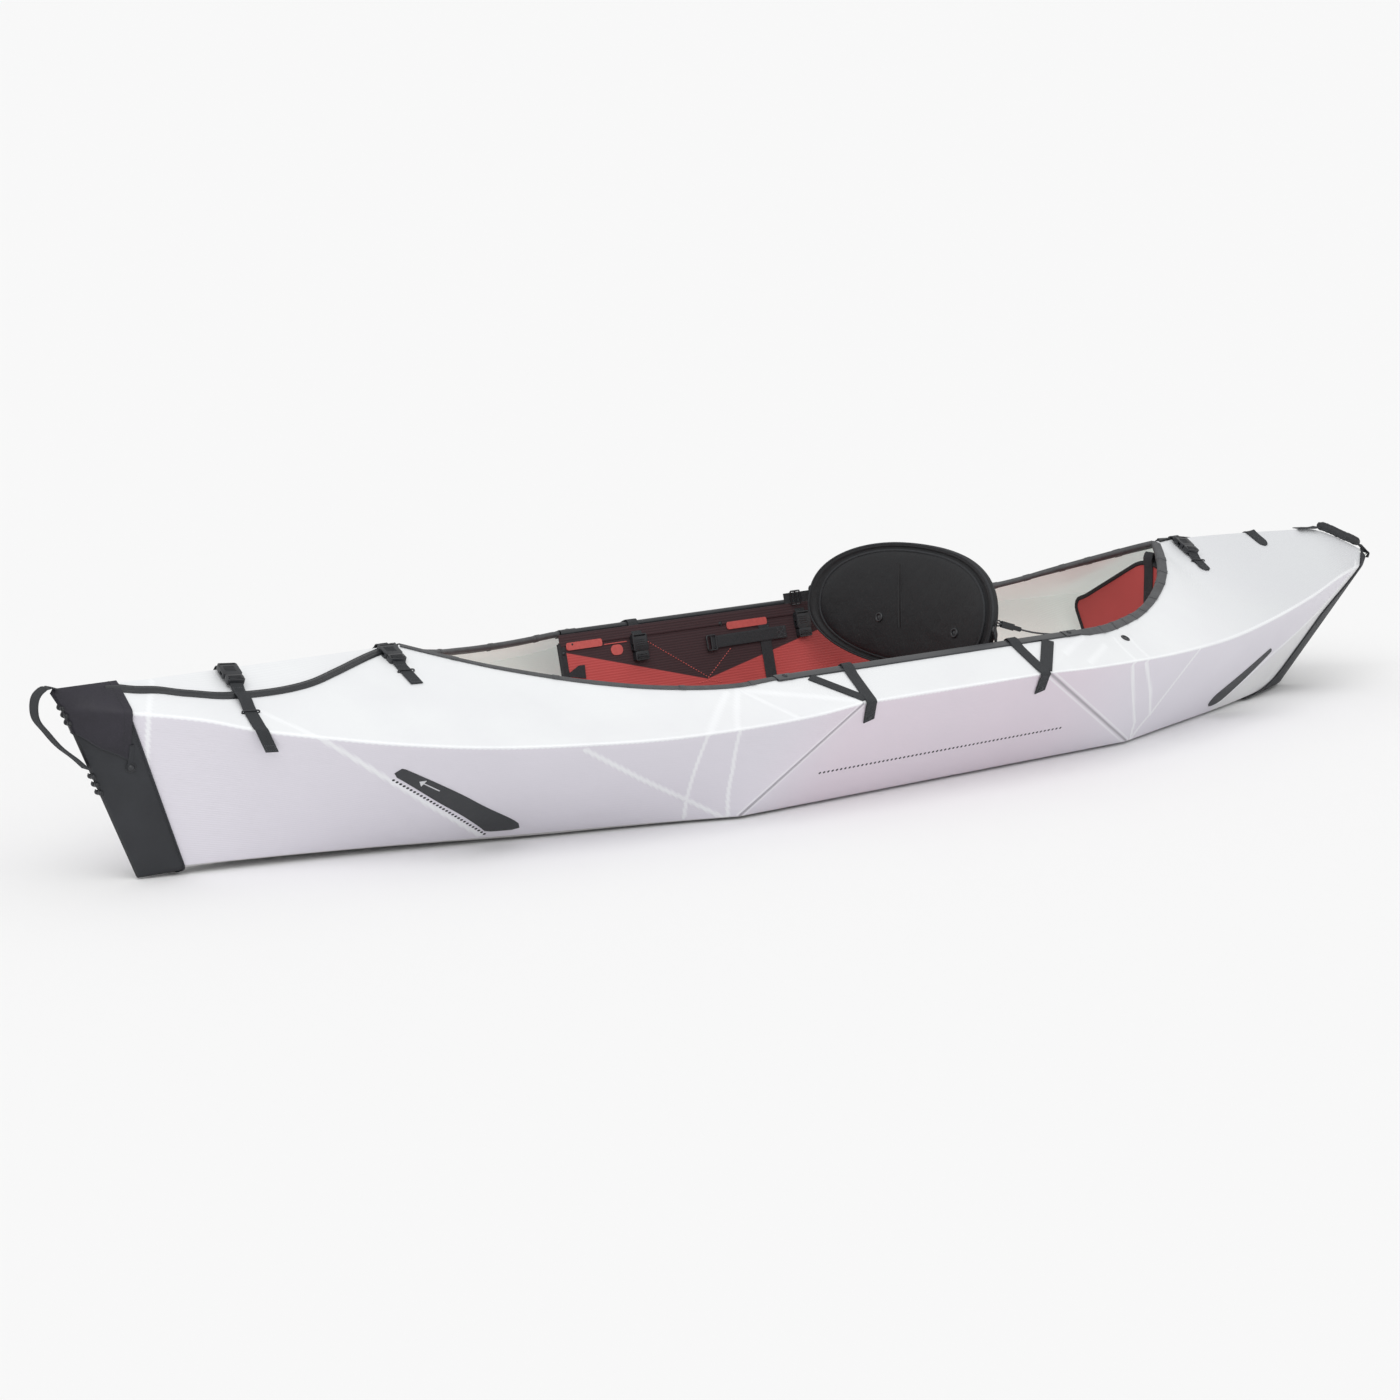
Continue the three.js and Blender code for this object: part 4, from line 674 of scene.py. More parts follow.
seam_finish = Finish("black_seam_piping", "28292b", 0.3, 0.5)
streak, scuff = seam_finish.noise(30.0, 4.0, 0.7), seam_finish.noise(240.0, 3.0)
seam_finish.dress(seam_finish.blend((streak * 0.7 + scuff * 0.3).clamp(), "17181a", "3b3d40"),
                  0.14 + streak * 0.34, streak * 0.0016 + scuff * 0.0003, 0.7)

moulded_finish = Finish("moulded_black_plastic", "232426", 0.32, 0.5)
wear = moulded_finish.noise(70.0, 4.0)
moulded_finish.dress(moulded_finish.blend(wear, "191a1c", "303236"), 0.26 + wear * 0.2,
                     moulded_finish.noise(1400.0) * 0.00008, 0.5)


def cloth(name, color, rough, specular, cloud_scale, tones, rough_range, pattern, heights, strength):
    """A clouded cloth with a fine knit, seen along x and z, or a fine grid, seen along y and z."""
    finish = Finish(name, color, rough, specular)
    x, y, z = finish.place()
    kind, pitch, share = pattern
    first, second = (x + z, z - x) if kind == "knit" else (y, z)
    fine, cloud = first.wave(pitch) * second.wave(pitch), finish.noise(cloud_scale, 4.0, 0.6)
    finish.dress(finish.blend((cloud * 0.9 + fine * share).clamp(), *tones),
                 rough_range[0] + cloud * rough_range[1], fine * heights[0] + cloud * heights[1], strength)
    return finish


neoprene_finish = cloth("bow_cover_fabric", "36373b", 0.62, 0.35, 14.0, ("222326", "3a3c40"), (0.52, 0.25),
                        ("knit", 0.0024, 0.06), (0.00012, 0.0025), 0.6)
hood_finish = cloth("bow_hood_fabric", "232427", 0.55, 0.4, 26.0, ("19181f", "322f39"), (0.34, 0.3),
                    ("knit", 0.0024, 0.06), (0.00012, 0.0045), 0.7)
nylon_finish = cloth("padded_cover_nylon", "26272a", 0.6, 0.4, 18.0, ("1d1e20", "37393c"), (0.48, 0.3),
                     ("grid", 0.0016, 0.08), (0.00010, 0.003), 0.6)

thread_finish = Finish("dark_thread", "55575a", 0.6, 0.3)
x, y, z = thread_finish.place()
twist = (x + y + z).wave(0.0008)
thread_finish.dress(thread_finish.blend((twist * 0.5 + 0.5).clamp(), "3a3c3e", "6a6c6f"), None,
                    twist * 0.00005, 0.5)

fastener_finish = Finish("blackened_fastener", "2a2b2d", 0.3, metallic=0.75)
wear = fastener_finish.noise(500.0, 3.0)
fastener_finish.dress(fastener_finish.blend(wear, "1c1d1f", "55575a"), 0.22 + wear * 0.3)

tape_finish = Finish("black_board_tape", "2b2c2e", 0.7, 0.3)
grain = tape_finish.noise(300.0, 3.0)
tape_finish.dress(tape_finish.blend(grain, "1f2022", "3c3e41"), 0.6 + grain * 0.25,
                  tape_finish.along()[0].wave(0.0016) * 0.00008 + grain * 0.0002, 0.7)
label_finish = speckled("plain_red_label", "c75b57", 0.45, 0.4, 160.0, 3.0, "b5504d", "d1645f", 0.0004, 0.5)
red_thread_finish = speckled("red_thread", "d9635e", 0.6, 0.3, 800.0, 2.0, "c9524e", "e07a74", 0.0001, 0.5)
mark_finish = speckled("printed_mark", "e9e9ec", 0.5, 0.3, 200.0, 3.0, "c3c4c8", "dcdde0", 0.0002, 0.4)
dot_finish = speckled("printed_dots", "2c2d30", 0.55, 0.3, 300.0, 2.0, "252629", "3a3b3e", 0.0002, 0.4)

patch_finish = Finish("printed_patch", "4a4b4e", 0.55, 0.4)
x, y, z = patch_finish.place()
weave, grain = (x + z).wave(0.0042) * (x - z * 1.4).wave(0.0042), patch_finish.noise(120.0, 3.0)
patch_finish.dress(patch_finish.blend((weave * 0.4 + 0.4 + grain * 0.2).clamp(), "222326", "46484b"),
                   0.5 + grain * 0.2, weave * 0.0002 + grain * 0.0003, 0.5)

# The backrest cover has a sunk seam with a ridge on either side, a little off its middle. The seam is painted
# darker, as shade in its hollow.
back_finish = Finish("backrest_cover", "252629", 0.6, 0.4)
x, y, z = back_finish.place()
grid = y.wave(0.0018) * z.wave(0.0018)
cloud, pucker = back_finish.noise(16.0, 4.0, 0.6), back_finish.noise(46.0, 3.0, 0.5)
off_seam = (y - ((z - 0.24) * 0.263 + 0.024)).abs()
seam_run = (z - 0.206).above(0.0) * (z - 0.313).below(0.0)
seam = off_seam.fade(0.0004, 0.0030) * seam_run
side_ridge = (off_seam - 0.0042).abs().fade(0.0002, 0.0022) * seam_run
# Painted shade: the colour darkens in the sunk seam
back_finish.dress(
    back_finish.blend((cloud * 0.9 + grid * 0.08 - seam * 0.5).clamp(), "0f1012", "222326"),
    0.46 + cloud * 0.3,
    grid * 0.0001 + cloud * 0.0045 + pucker * 0.0012 - seam * 0.0034 + side_ridge * 0.001, 0.7)
print("dark finishes ready")

# %% Red boards
red = "c25250"
zone_edge = ((-0.297, 0.193), (0.014, 0.113), (0.266, 0.165))


def dress_red(name, with_zone):
    """Red twin-wall sheet, with a dark cover above a pointed edge where asked."""
    finish = Finish(name, red, 0.5, 0.35)
    x, y, z = finish.place()
    flute = (z if with_zone else x).wave(0.0045)
    cloud = finish.noise(11.0, 3.0)
    tone = finish.blend((cloud * 0.9 + flute * 0.06).clamp(), shade(red, 0.86), shade(red, 1.12))
    rough = None
    if with_zone:
        front, back = [(x - ax) * ((bz - az) / (bx - ax)) + az
                       for (ax, az), (bx, bz) in zip(zone_edge, zone_edge[1:])]
        inside = ((z - front.most(back)) * (1 / 0.0012)).clamp()
        cover = finish.blend((flute * 0.5 + 0.5) * 0.5, "3a2a2d", "4d3538")
        tone = finish.blend(inside, tone, cover)
        rough = 0.5 + inside * 0.25
    finish.dress(tone, rough, flute * 0.00018 + cloud * 0.0008, 0.6)
    return finish


side_board_finish = dress_red("red_side_board_sheet", True)
plain_red_finish = dress_red("red_board_sheet", False)
print("red finishes ready")

# %% [markdown]
# ## Geometry Nodes for what repeats
# Stitches, rivets and dots are laid out by small node trees rather than one by one. Each tree takes a
# few named sizes, the stitch tree also a fixed seed, and ends in one mesh, so that the piece can ride on its
# body.
# %% The node tree class
def chains(paths, closed=0):
    """Points and edges of several rows together. The first few may be closed rings."""
    points, edges = [], []
    for number, path in enumerate(paths):
        start, end = len(points), len(points) + len(path) - 1
        edges += [(i, i + 1) for i in range(start, end)]
        if number < closed:
            edges.append((end, start))
        points += list(path)
    return points, edges


class Graph:
    """A Geometry Nodes tree with named inputs. It works on rows of points, or on single ones that face
    somewhere."""

    def __init__(self, name, sizes, seed=None, single=False):
        self.tree, self.single = bpy.data.node_groups.new(name, "GeometryNodeTree"), single
        self.socket("Geometry", "Geometry")
        self.material = self.socket("Material", "Material")
        self.sizes = [self.socket(key, "Float", size) for key, size in sizes.items()]
        if seed:
            self.socket("Seed", "Int", seed)
        self.socket("Geometry", "Geometry", in_out="OUTPUT")
        self.given = self.tree.nodes.new("NodeGroupInput").outputs
        self.end = self.tree.nodes.new("NodeGroupOutput")

    def socket(self, key, kind, value=None, in_out="INPUT"):
        made = self.tree.interface.new_socket(key, in_out=in_out, socket_type=f"NodeSocket{kind}")
        if value is not None:
            made.default_value = value
        return made.identifier

    def node(self, kind, settings=None, output=0, **inputs):
        """Adds a node with these settings and inputs, and gives one output."""
        made = self.tree.nodes.new(kind)
        for key, setting in (settings or {}).items():
            setattr(made, key, setting)
        for key, item in inputs.items():
            slot = made.inputs[key.replace("_", " ")]
            for one in item if isinstance(item, list) else [item]:
                if isinstance(one, bpy.types.NodeSocket):
                    self.tree.links.new(one, slot)
                else:
                    slot.default_value = one
        return made.outputs[output]

    def close(self, shape):
        whole = self.node("GeometryNodeRealizeInstances", Geometry=shape)
        smooth = self.node("GeometryNodeSetShadeSmooth", Geometry=whole)
        dressed = self.node("GeometryNodeSetMaterial", Geometry=smooth, Material=self.given["Material"])
        self.tree.links.new(dressed, self.end.inputs[0])
        print(self.tree.name, "tree", len(self.tree.nodes), "nodes")

    def grow(self, name, rows, finish, sizes=(), body="hull", closed=0, replaces=None):
        """Runs the tree, with sizes in the order of its inputs, and keeps one plain mesh."""
        if self.single:
            (points, facing), edges = zip(*rows), []
        else:
            points, edges = chains(rows, closed)
        mesh = bpy.data.meshes.new(name)
        mesh.from_pydata([tuple(map(float, p)) for p in points], edges, [])
        if self.single:
            layer = mesh.attributes.new("facing", "FLOAT_VECTOR", "POINT")
            layer.data.foreach_set("vector", np.asarray(facing, dtype=np.float32).ravel())
        piece = bpy.data.objects.new(name, mesh)
        bpy.context.collection.objects.link(piece)
        modifier = piece.modifiers.new("nodes", "NODES")
        modifier.node_group = self.tree
        modifier[self.material] = finish.material
        for key, value in zip(self.sizes, sizes):
            modifier[key] = value
        apply_modifiers(piece)
        place_piece(piece, body, replaces)


# %% Stitches along a line
stitches = Graph("stitches", {"Spacing": 0.0032, "Length": 0.0024, "Width": 0.0008}, seed=3)
line = stitches.node("GeometryNodeMeshToCurve", Mesh=stitches.given["Geometry"])
marks = stitches.node("GeometryNodeResampleCurve", {"mode": "LENGTH"}, Curve=line,
                      Length=stitches.given["Spacing"])
bead = stitches.node("GeometryNodeMeshUVSphere", Segments=8, Rings=5, Radius=0.5)
size = stitches.node("ShaderNodeCombineXYZ", X=stitches.given["Length"], Y=stitches.given["Width"],
                     Z=stitches.given["Width"])
long_bead = stitches.node("GeometryNodeTransform", Geometry=bead, Scale=size)
turn = stitches.node("FunctionNodeAlignRotationToVector", {"axis": "X"},
                     Vector=stitches.node("GeometryNodeInputTangent"))
wobble = stitches.node("FunctionNodeRandomValue", {"data_type": "FLOAT_VECTOR"}, Min=(0.82, 0.85, 0.85),
                       Max=(1.08, 1.1, 1.1), Seed=stitches.given["Seed"])
stitches.close(stitches.node("GeometryNodeInstanceOnPoints", Points=marks, Instance=long_bead,
                             Rotation=turn, Scale=wobble))

# %% Round heads at points: rivets, screws, studs and eyelets
heads = Graph("heads", {"Dome Radius": 0.003, "Dome Height": 0.0012, "Ring Radius": 0.0036,
                        "Ring Thickness": 0.0005}, single=True)
ball = heads.node("GeometryNodeMeshUVSphere", Segments=20, Rings=10, Radius=1.0)
size = heads.node("ShaderNodeCombineXYZ", X=heads.given["Dome Radius"], Y=heads.given["Dome Radius"],
                  Z=heads.given["Dome Height"])
dome = heads.node("GeometryNodeTransform", Geometry=ball, Scale=size)
ring = heads.node(
    "GeometryNodeCurveToMesh",
    Curve=heads.node("GeometryNodeCurvePrimitiveCircle", Resolution=24, Radius=heads.given["Ring Radius"]),
    Profile_Curve=heads.node("GeometryNodeCurvePrimitiveCircle", Resolution=8,
                             Radius=heads.given["Ring Thickness"]))
both = heads.node("GeometryNodeJoinGeometry", Geometry=[dome, ring])
facing = heads.node("GeometryNodeInputNamedAttribute", {"data_type": "FLOAT_VECTOR"}, "Attribute",
                    Name="facing")
turn = heads.node("FunctionNodeAlignRotationToVector", {"axis": "Z"}, Vector=facing)
heads.close(heads.node("GeometryNodeInstanceOnPoints", Points=heads.given["Geometry"], Instance=both,
                       Rotation=turn))

# %% Round bars along a line: piping, cords and edge beads
bars = Graph("bars", {"Radius": 0.002, "Step": 0.004})
line = bars.node("GeometryNodeMeshToCurve", Mesh=bars.given["Geometry"])
even_line = bars.node("GeometryNodeResampleCurve", {"mode": "LENGTH"}, Curve=line, Length=bars.given["Step"])
circle = bars.node("GeometryNodeCurvePrimitiveCircle", Resolution=12, Radius=bars.given["Radius"])
bars.close(bars.node("GeometryNodeCurveToMesh", Curve=even_line, Profile_Curve=circle, Fill_Caps=True))

# %% [markdown]
# ## Lying on the hull
# Webbing and strips take their shape from the hull under them. A ray dropped on the deck, or shot at a
# side, finds the sheet's outer face and which way it looks there.
# %% Rays at the hull
def hit(start, way):
    """Where a ray meets the hull, and the way the sheet looks there, towards the ray's start."""
    spot, normal, _, _ = hull_tree.ray_cast(Vector(start), Vector(way))
    normal = np.array(normal)
    return np.array(spot), normal * (-1 if np.dot(normal, way) > 0 else 1)


def deck_hit(x, y):
    return hit((x, y, 0.6), (0, 0, -1))


def side_hit(x, z, side):
    return hit((x, side * 0.8, z), (0, -side, 0))


def walked(path):
    """Metres walked at each point of a path."""
    return np.concatenate([[0], np.cumsum(np.linalg.norm(np.diff(path, axis=0), axis=1))])


def smooth_path(points, step):
    """A curve through points, walked in equal steps."""
    points = np.asarray(points, dtype=float)
    padded = np.vstack([2 * points[0] - points[1], points, 2 * points[-1] - points[-2]])
    dense = []
    for a, b, c, d in zip(padded, padded[1:], padded[2:], padded[3:]):
        for t in np.linspace(0, 1, 16, endpoint=False):
            dense.append(0.5 * (2 * b + (c - a) * t + (2 * a - 5 * b + 4 * c - d) * t**2
                                + (3 * b - a - 3 * c + d) * t**3))
    dense = np.array(dense + [points[-1]])
    s = walked(dense[:, :3])
    marks = np.linspace(0, s[-1], max(int(s[-1] / step), 2) + 1)
    return np.array([np.interp(marks, s, dense[:, k]) for k in range(points.shape[1])]).T


def square_to(vector, way):
    """The part of a vector that stands square to a unit way, as a unit vector."""
    return unit(vector - way * np.dot(vector, way))


class Ribbon:
    """Webbing through rows of (middle of its under side, across, up)."""

    half_section = [(1, 0.35), (0.97, 0.8), (0.9, 1.0), (0.6, 0.94), (0.2, 0.98)]
    section = [(-a, b) for a, b in half_section] + half_section[::-1] \
        + [(a, 0.0) for a in (0.96, 0.5, 0, -0.5, -0.96)]

    def __init__(self, rows, width, thickness, step=0.004):
        table = smooth_path([np.concatenate([at, unit(across), unit(up)]) for at, across, up in rows], step)
        self.at = table[:, :3]
        self.across = np.array([unit(a) for a in table[:, 3:6]])
        self.up = np.array([square_to(n, a) for n, a in zip(table[:, 6:9], self.across)])
        self.width, self.thickness = width, thickness
        self.run = walked(self.at)
        self.end = self.run[-1]

    def top(self, s, side):
        """The point on the top face at a length and a share of the half width."""
        spot, across, up = (np.array([np.interp(s, self.run, rows[:, k]) for k in range(3)])
                            for rows in (self.at, self.across, self.up))
        return spot + unit(across) * side * self.width / 2 + unit(up) * self.thickness

    def solid(self, round_end=0.0):
        """The closed ribbon with its map, its long edges rounded."""
        half, points, uvs = self.width / 2, [], []
        for i, s in enumerate(self.run):
            left, keep = self.end - s, 1.0
            if round_end and left < round_end:
                keep = max(math.sqrt(max(1 - (1 - left / round_end)**2, 0.0)), 0.25)
            for a, b in self.section:
                points.append(self.at[i] + self.across[i] * a * half * keep + self.up[i] * b * self.thickness)
                uvs.append((s, a * half))
        return points, tube_faces(len(self.run), len(self.section)), uvs

    def box_stitch(self, start, end, inset=0.72):
        """A stitched box with a cross on the top face, as paths."""
        corners = [(start, -inset), (start, inset), (end, inset), (end, -inset), (start, -inset)]
        paths = [[self.top(s, a) for s, a in row] for row in (corners, corners[::2][:2], corners[1:4:2])]
        return [[p for a, b in zip(path, path[1:]) for p in (a, mix(a, b, 0.5))] + [path[-1]]
                for path in paths]

    def edge_stitch(self, inset):
        marks = np.linspace(0.004, self.end - 0.004, max(len(self.run) // 2, 3))
        return [[self.top(s, side * inset) for s in marks] for side in (-1, 1)]


def lay_ribbon(name, ribbons, finish, body="hull", replaces=None, round_end=0.0):
    new_piece(name, joined([one.solid(round_end) for one in ribbons]), finish, body, 45, replaces)


print("rays and ribbons ready")

# %% [markdown]
# ## Edge trims and rails
# A folded tape grips the sheet's edge along the cockpit. It is a U in section with a rounded back, and
# it shows small sleeves where two lengths meet. Along each straight topside a stiffer moulded rail
# takes its place, closed by end blocks with a screw.
# %% Swept U sections
def u_section(leg, back, reach, slot, slot_depth):
    """A U with a rounded back: (outwards, across the sheet) pairs."""
    turn = [math.radians(a) for a in (90, 68, 45, 22, 0, -22, -45, -68, -90)]
    round_back = [(back - reach * 0.8 + reach * 0.8 * math.cos(a), reach * math.sin(a)) for a in turn]
    lip = 0.0006
    outer = [(-leg, slot + lip), (-leg + lip, reach), *round_back, (-leg + lip, -reach), (-leg, -slot - lip)]
    inner = [(-leg, -slot), (slot_depth, -slot), (slot_depth, slot), (-leg, slot)]
    return outer + inner


def sweep(path, normals, opening, section):
    """A closed section carried along a path on the sheet's top face, open towards one way."""
    points, uvs = [], []
    for i, (p, run) in enumerate(zip(path, walked(path))):
        ahead = unit(path[min(i + 1, len(path) - 1)] - path[max(i - 1, 0)])
        up = square_to(normals[i], ahead)
        out = unit(np.cross(ahead, up))
        out = out if np.dot(out, opening) > 0 else -out
        for k, (a, b) in enumerate(section):
            points.append(p - up * sheet / 2 + out * a + up * b)
            uvs.append((run, k * 0.0015))
    return points, tube_faces(len(path), len(section)), uvs


def rim_curve(zone, side, start, end, count):
    """Points on the cockpit's edge and the deck's direction upwards there."""
    points, normals = [], []
    for q in np.linspace(start, end, count):
        _, chine, _, top = section_at(zone, q)
        ahead = section_at(zone, min(q + 0.01, 1.0))[3] - section_at(zone, max(q - 0.01, 0.0))[3]
        at = top * (1, side, 1)
        normal = unit(np.cross(ahead * (1, side, 1), at - chine * (1, side, 1)))
        points.append(at)
        normals.append(normal if normal[2] > 0 else -normal)
    return np.array(points), np.array(normals)


rail_front_x, rail_rear_x = rail_front + 0.016, rail_rear - 0.024
topside_slope = math.atan2(rail_height - fold_height, half_beam - rail_half)
rim_plan = {
    "front": ((0.003, 1.0), rail_front_x - 0.0003, u_section(0.008, 0.0036, 0.0049, 0.0035, 0.002),
              (0.12, 0.36, 0.7, 0.93), u_section(0.0088, 0.0042, 0.0056, 0.0046, 0.0024)),
    "rear": ((0.0, 0.997), rail_rear_x + 0.0003, u_section(0.0125, 0.0046, 0.0051, 0.0035, 0.002),
             (0.09, 0.2, 0.3, 0.4, 0.5, 0.62, 0.74, 0.82, 0.9),
             u_section(0.0132, 0.0051, 0.0057, 0.0046, 0.0024)),
}
rim_steps, sleeve_length = 96, 0.018


def topside_ways(side):
    """The way up from a topside and the way outward along its slope."""
    return (point(0, side * math.sin(topside_slope), math.cos(topside_slope)),
            point(0, side * math.cos(topside_slope), -math.sin(topside_slope)))


for side in (LEFT, RIGHT):
    flat = topside_ways(side)[0]
    for zone, (limits, rail_end, section, sleeves, sleeve_section) in rim_plan.items():
        points, normals = rim_curve(zone, side, *limits, rim_steps)
        last = -1 if zone == "front" else 0
        far = [points[last] * (0, 1, 1) + (mix(points[last][0], rail_end, t), 0, 0) for t in (0.5, 1.0)]
        looks = [unit(normals[last] + flat), flat]
        if zone == "front":
            points, normals = np.vstack([points, far]), np.vstack([normals, looks])
        else:
            points, normals = np.vstack([far[::-1], points]), np.vstack([looks[::-1], normals])
        parts = [sweep(points, normals, -side * along_y, section)]
        for share in sleeves:
            parts.append(sweep(*rim_curve(zone, side, share, share + sleeve_length, 5), -side * along_y,
                               sleeve_section))
        new_piece(f"{zone}_rim_binding_{side_names[side]}", joined(parts), binding_finish, angle=50,
                  replaces=f"{zone}_rim_trim_{side_names[side]}")
print("rim bindings 4, sleeves", {zone: len(plan[3]) for zone, plan in rim_plan.items()})

# %% Gunwale rails
rail_section = u_section(0.012, 0.006, 0.0052, 0.0028, 0.0028)
block_section = u_section(0.0134, 0.0068, 0.0062, 0.0046, 0.0034)
block_length = 0.034
screws = []
for side in (LEFT, RIGHT):
    normal, outward = topside_ways(side)
    parts = []
    for from_x, to_x, section in ((rail_front_x, rail_rear_x, rail_section),
                                  (rail_front_x, rail_front_x + block_length, block_section),
                                  (rail_rear_x - block_length, rail_rear_x, block_section)):
        path = [point(x, side * rail_half, rail_height) for x in np.linspace(from_x, to_x, 9)]
        parts.append(sweep(path, [normal] * 9, -side * along_y, section))
    new_piece(f"gunwale_rail_piece_{side_names[side]}", joined(parts), rail_finish, angle=40,
              replaces=f"gunwale_rail_{side_names[side]}")
    for x in (rail_front_x + 0.02, rail_rear_x - 0.02):
        screws.append((point(x, side * rail_half, rail_height) + outward * 0.003
                       + normal * (0.0062 - sheet / 2), normal))
heads.grow("rail_end_screws", screws, fastener_finish, (0.0036, 0.0014, 0.0042, 0.0006))
print("rails 2, screws", len(screws))

# %% [markdown]
# ## Seam strips
# Where one deck sheet laps the other, a soft black strip covers the edge. It has a raised bead along
# its middle and wavers a little near the bow, because it was pushed on by hand.
# %% Seam strips
strip_half = [(1, 0.0), (1, 0.55), (0.8, 0.85), (0.5, 0.72), (0.28, 1.0)]
strip_profile = [(-a, b) for a, b in strip_half] + [(0, 1.12)] + strip_half[::-1]
strip_width, strip_height, strip_lift = 0.012, 0.0045, 0.0009
sway_width, sway_length = 0.0014, 0.24
for end, side, limits in (("bow", LEFT, (0.13, 0.985)), ("stern", RIGHT, (0.02, 0.80))):
    path = []
    for q in np.linspace(*limits, 130):
        _, chine, left_top, right_top = section_at(end, q)
        seam = left_top if side == LEFT else right_top
        if abs(chine[1]) - abs(seam[1]) > strip_width:
            path.append(seam)
    points, uvs = [], []
    for i, (p, run) in enumerate(zip(path, walked(path))):
        ahead = unit((path[min(i + 1, len(path) - 1)] - path[max(i - 1, 0)]) * (1, 1, 0))
        across = point(-ahead[1], ahead[0], 0)
        sway = sway_width * math.sin(run * 95) * max(1 - run / sway_length, 0) if end == "bow" else 0.0
        for a, b in strip_profile:
            at = p + across * (sway + a * strip_width / 2)
            ground = deck_hit(at[0], at[1])[0]
            points.append(ground + along_z * (strip_lift + b * strip_height))
            uvs.append((run, a * strip_width / 2))
    new_piece(f"{end}_seam_strip", (points, tube_faces(len(path), len(strip_profile)), uvs), seam_finish,
              angle=40, replaces=f"{end}_seam_channel")
print("seam strips 2")

# %% [markdown]
# ## Buckles
# Each buckle is a moulded side release pair. Its solids come from the CAD part. Here their edges are
# rounded as moulds leave them, and grip ribs are added on top of the plug and the socket.
# %% Rounded buckles
def corner_points(node):
    return np.array([v.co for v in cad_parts[node].data.vertices])


def rounded_copy(name, node, width, body, ribs):
    """The node's solid with its edges rounded, and ribs on it."""
    work = bmesh.new()
    work.from_mesh(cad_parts[node].data)
    bmesh.ops.remove_doubles(work, verts=work.verts, dist=0.00001)
    bmesh.ops.dissolve_limit(work, angle_limit=math.radians(2), verts=work.verts, edges=work.edges)
    sharp = [e for e in work.edges if len(e.link_faces) == 2 and e.calc_face_angle(0) > math.radians(40)]
    bmesh.ops.bevel(work, geom=sharp, offset=width, segments=2, profile=0.6, affect="EDGES",
                    clamp_overlap=True)
    work.verts.index_update()
    shell = ([tuple(v.co) for v in work.verts], [tuple(v.index for v in f.verts) for f in work.faces])
    work.free()
    new_piece(name, joined([shell, *ribs])[:2], moulded_finish, body, 40, node)


def rib(center, long, short, up, half_long, height, half_short=0.0009):
    """A small bar with a rounded back."""
    points = []
    for end, keep in ((-1, 0.7), (-0.9, 1.0), (0.9, 1.0), (1, 0.7)):
        for turn in (math.pi * k / 6 for k in range(7)):
            points.append(center + long * end * half_long + short * math.cos(turn) * half_short * keep
                          + up * math.sin(turn) * height * keep)
    return points, tube_faces(4, 7)


buckle_faces = {
    "bow_strap": (0, -0.3, 1), "cockpit_strap": (0, -0.3, 1), "stern_strap": (0, -0.3, 1),
    "front_left_inner": (0, 1, 0.2), "front_right_inner": (0, -1, 0.2),
    "rear_left_inner": (0, 1, 0.2), "rear_right_inner": (0, -1, 0.2),
}
buckles = {}
for name, face_way in buckle_faces.items():
    a, b = corner_points(f"{name}_socket"), corner_points(f"{name}_plug")
    ahead = unit(b.mean(axis=0) - a.mean(axis=0))
    thinnest = np.linalg.svd(a - a.mean(axis=0))[2][2]
    up = square_to(thinnest if np.dot(thinnest, face_way) > 0 else -thinnest, ahead)
    across = unit(np.cross(up, ahead))
    middle, rear, end = (a @ across).mean(), (a @ ahead).min(), (b @ ahead).max()
    top, base = max((a @ up).max(), (b @ up).max()), (a @ up).min()
    buckles[name] = dict(ahead=ahead, across=across, up=up, at=across * middle + up * (base + 0.004),
                         rear=rear, end=end)
    over = across * middle + up * top
    rounded_copy(f"{name}_socket_moulding", f"{name}_socket", 0.0007, "hull",
                 [rib(ahead * (rear + 0.010 + k * 0.0036) + over, across, ahead, up, 0.009, 0.0008)
                  for k in range(4)])
    rounded_copy(f"{name}_plug_moulding", f"{name}_plug", 0.0006, f"{name}_end",
                 [rib(ahead * (end - 0.004 - k * 0.0034) + over, across, ahead, up, 0.0105, 0.0009)
                  for k in range(3)])
print("buckles", len(buckles))

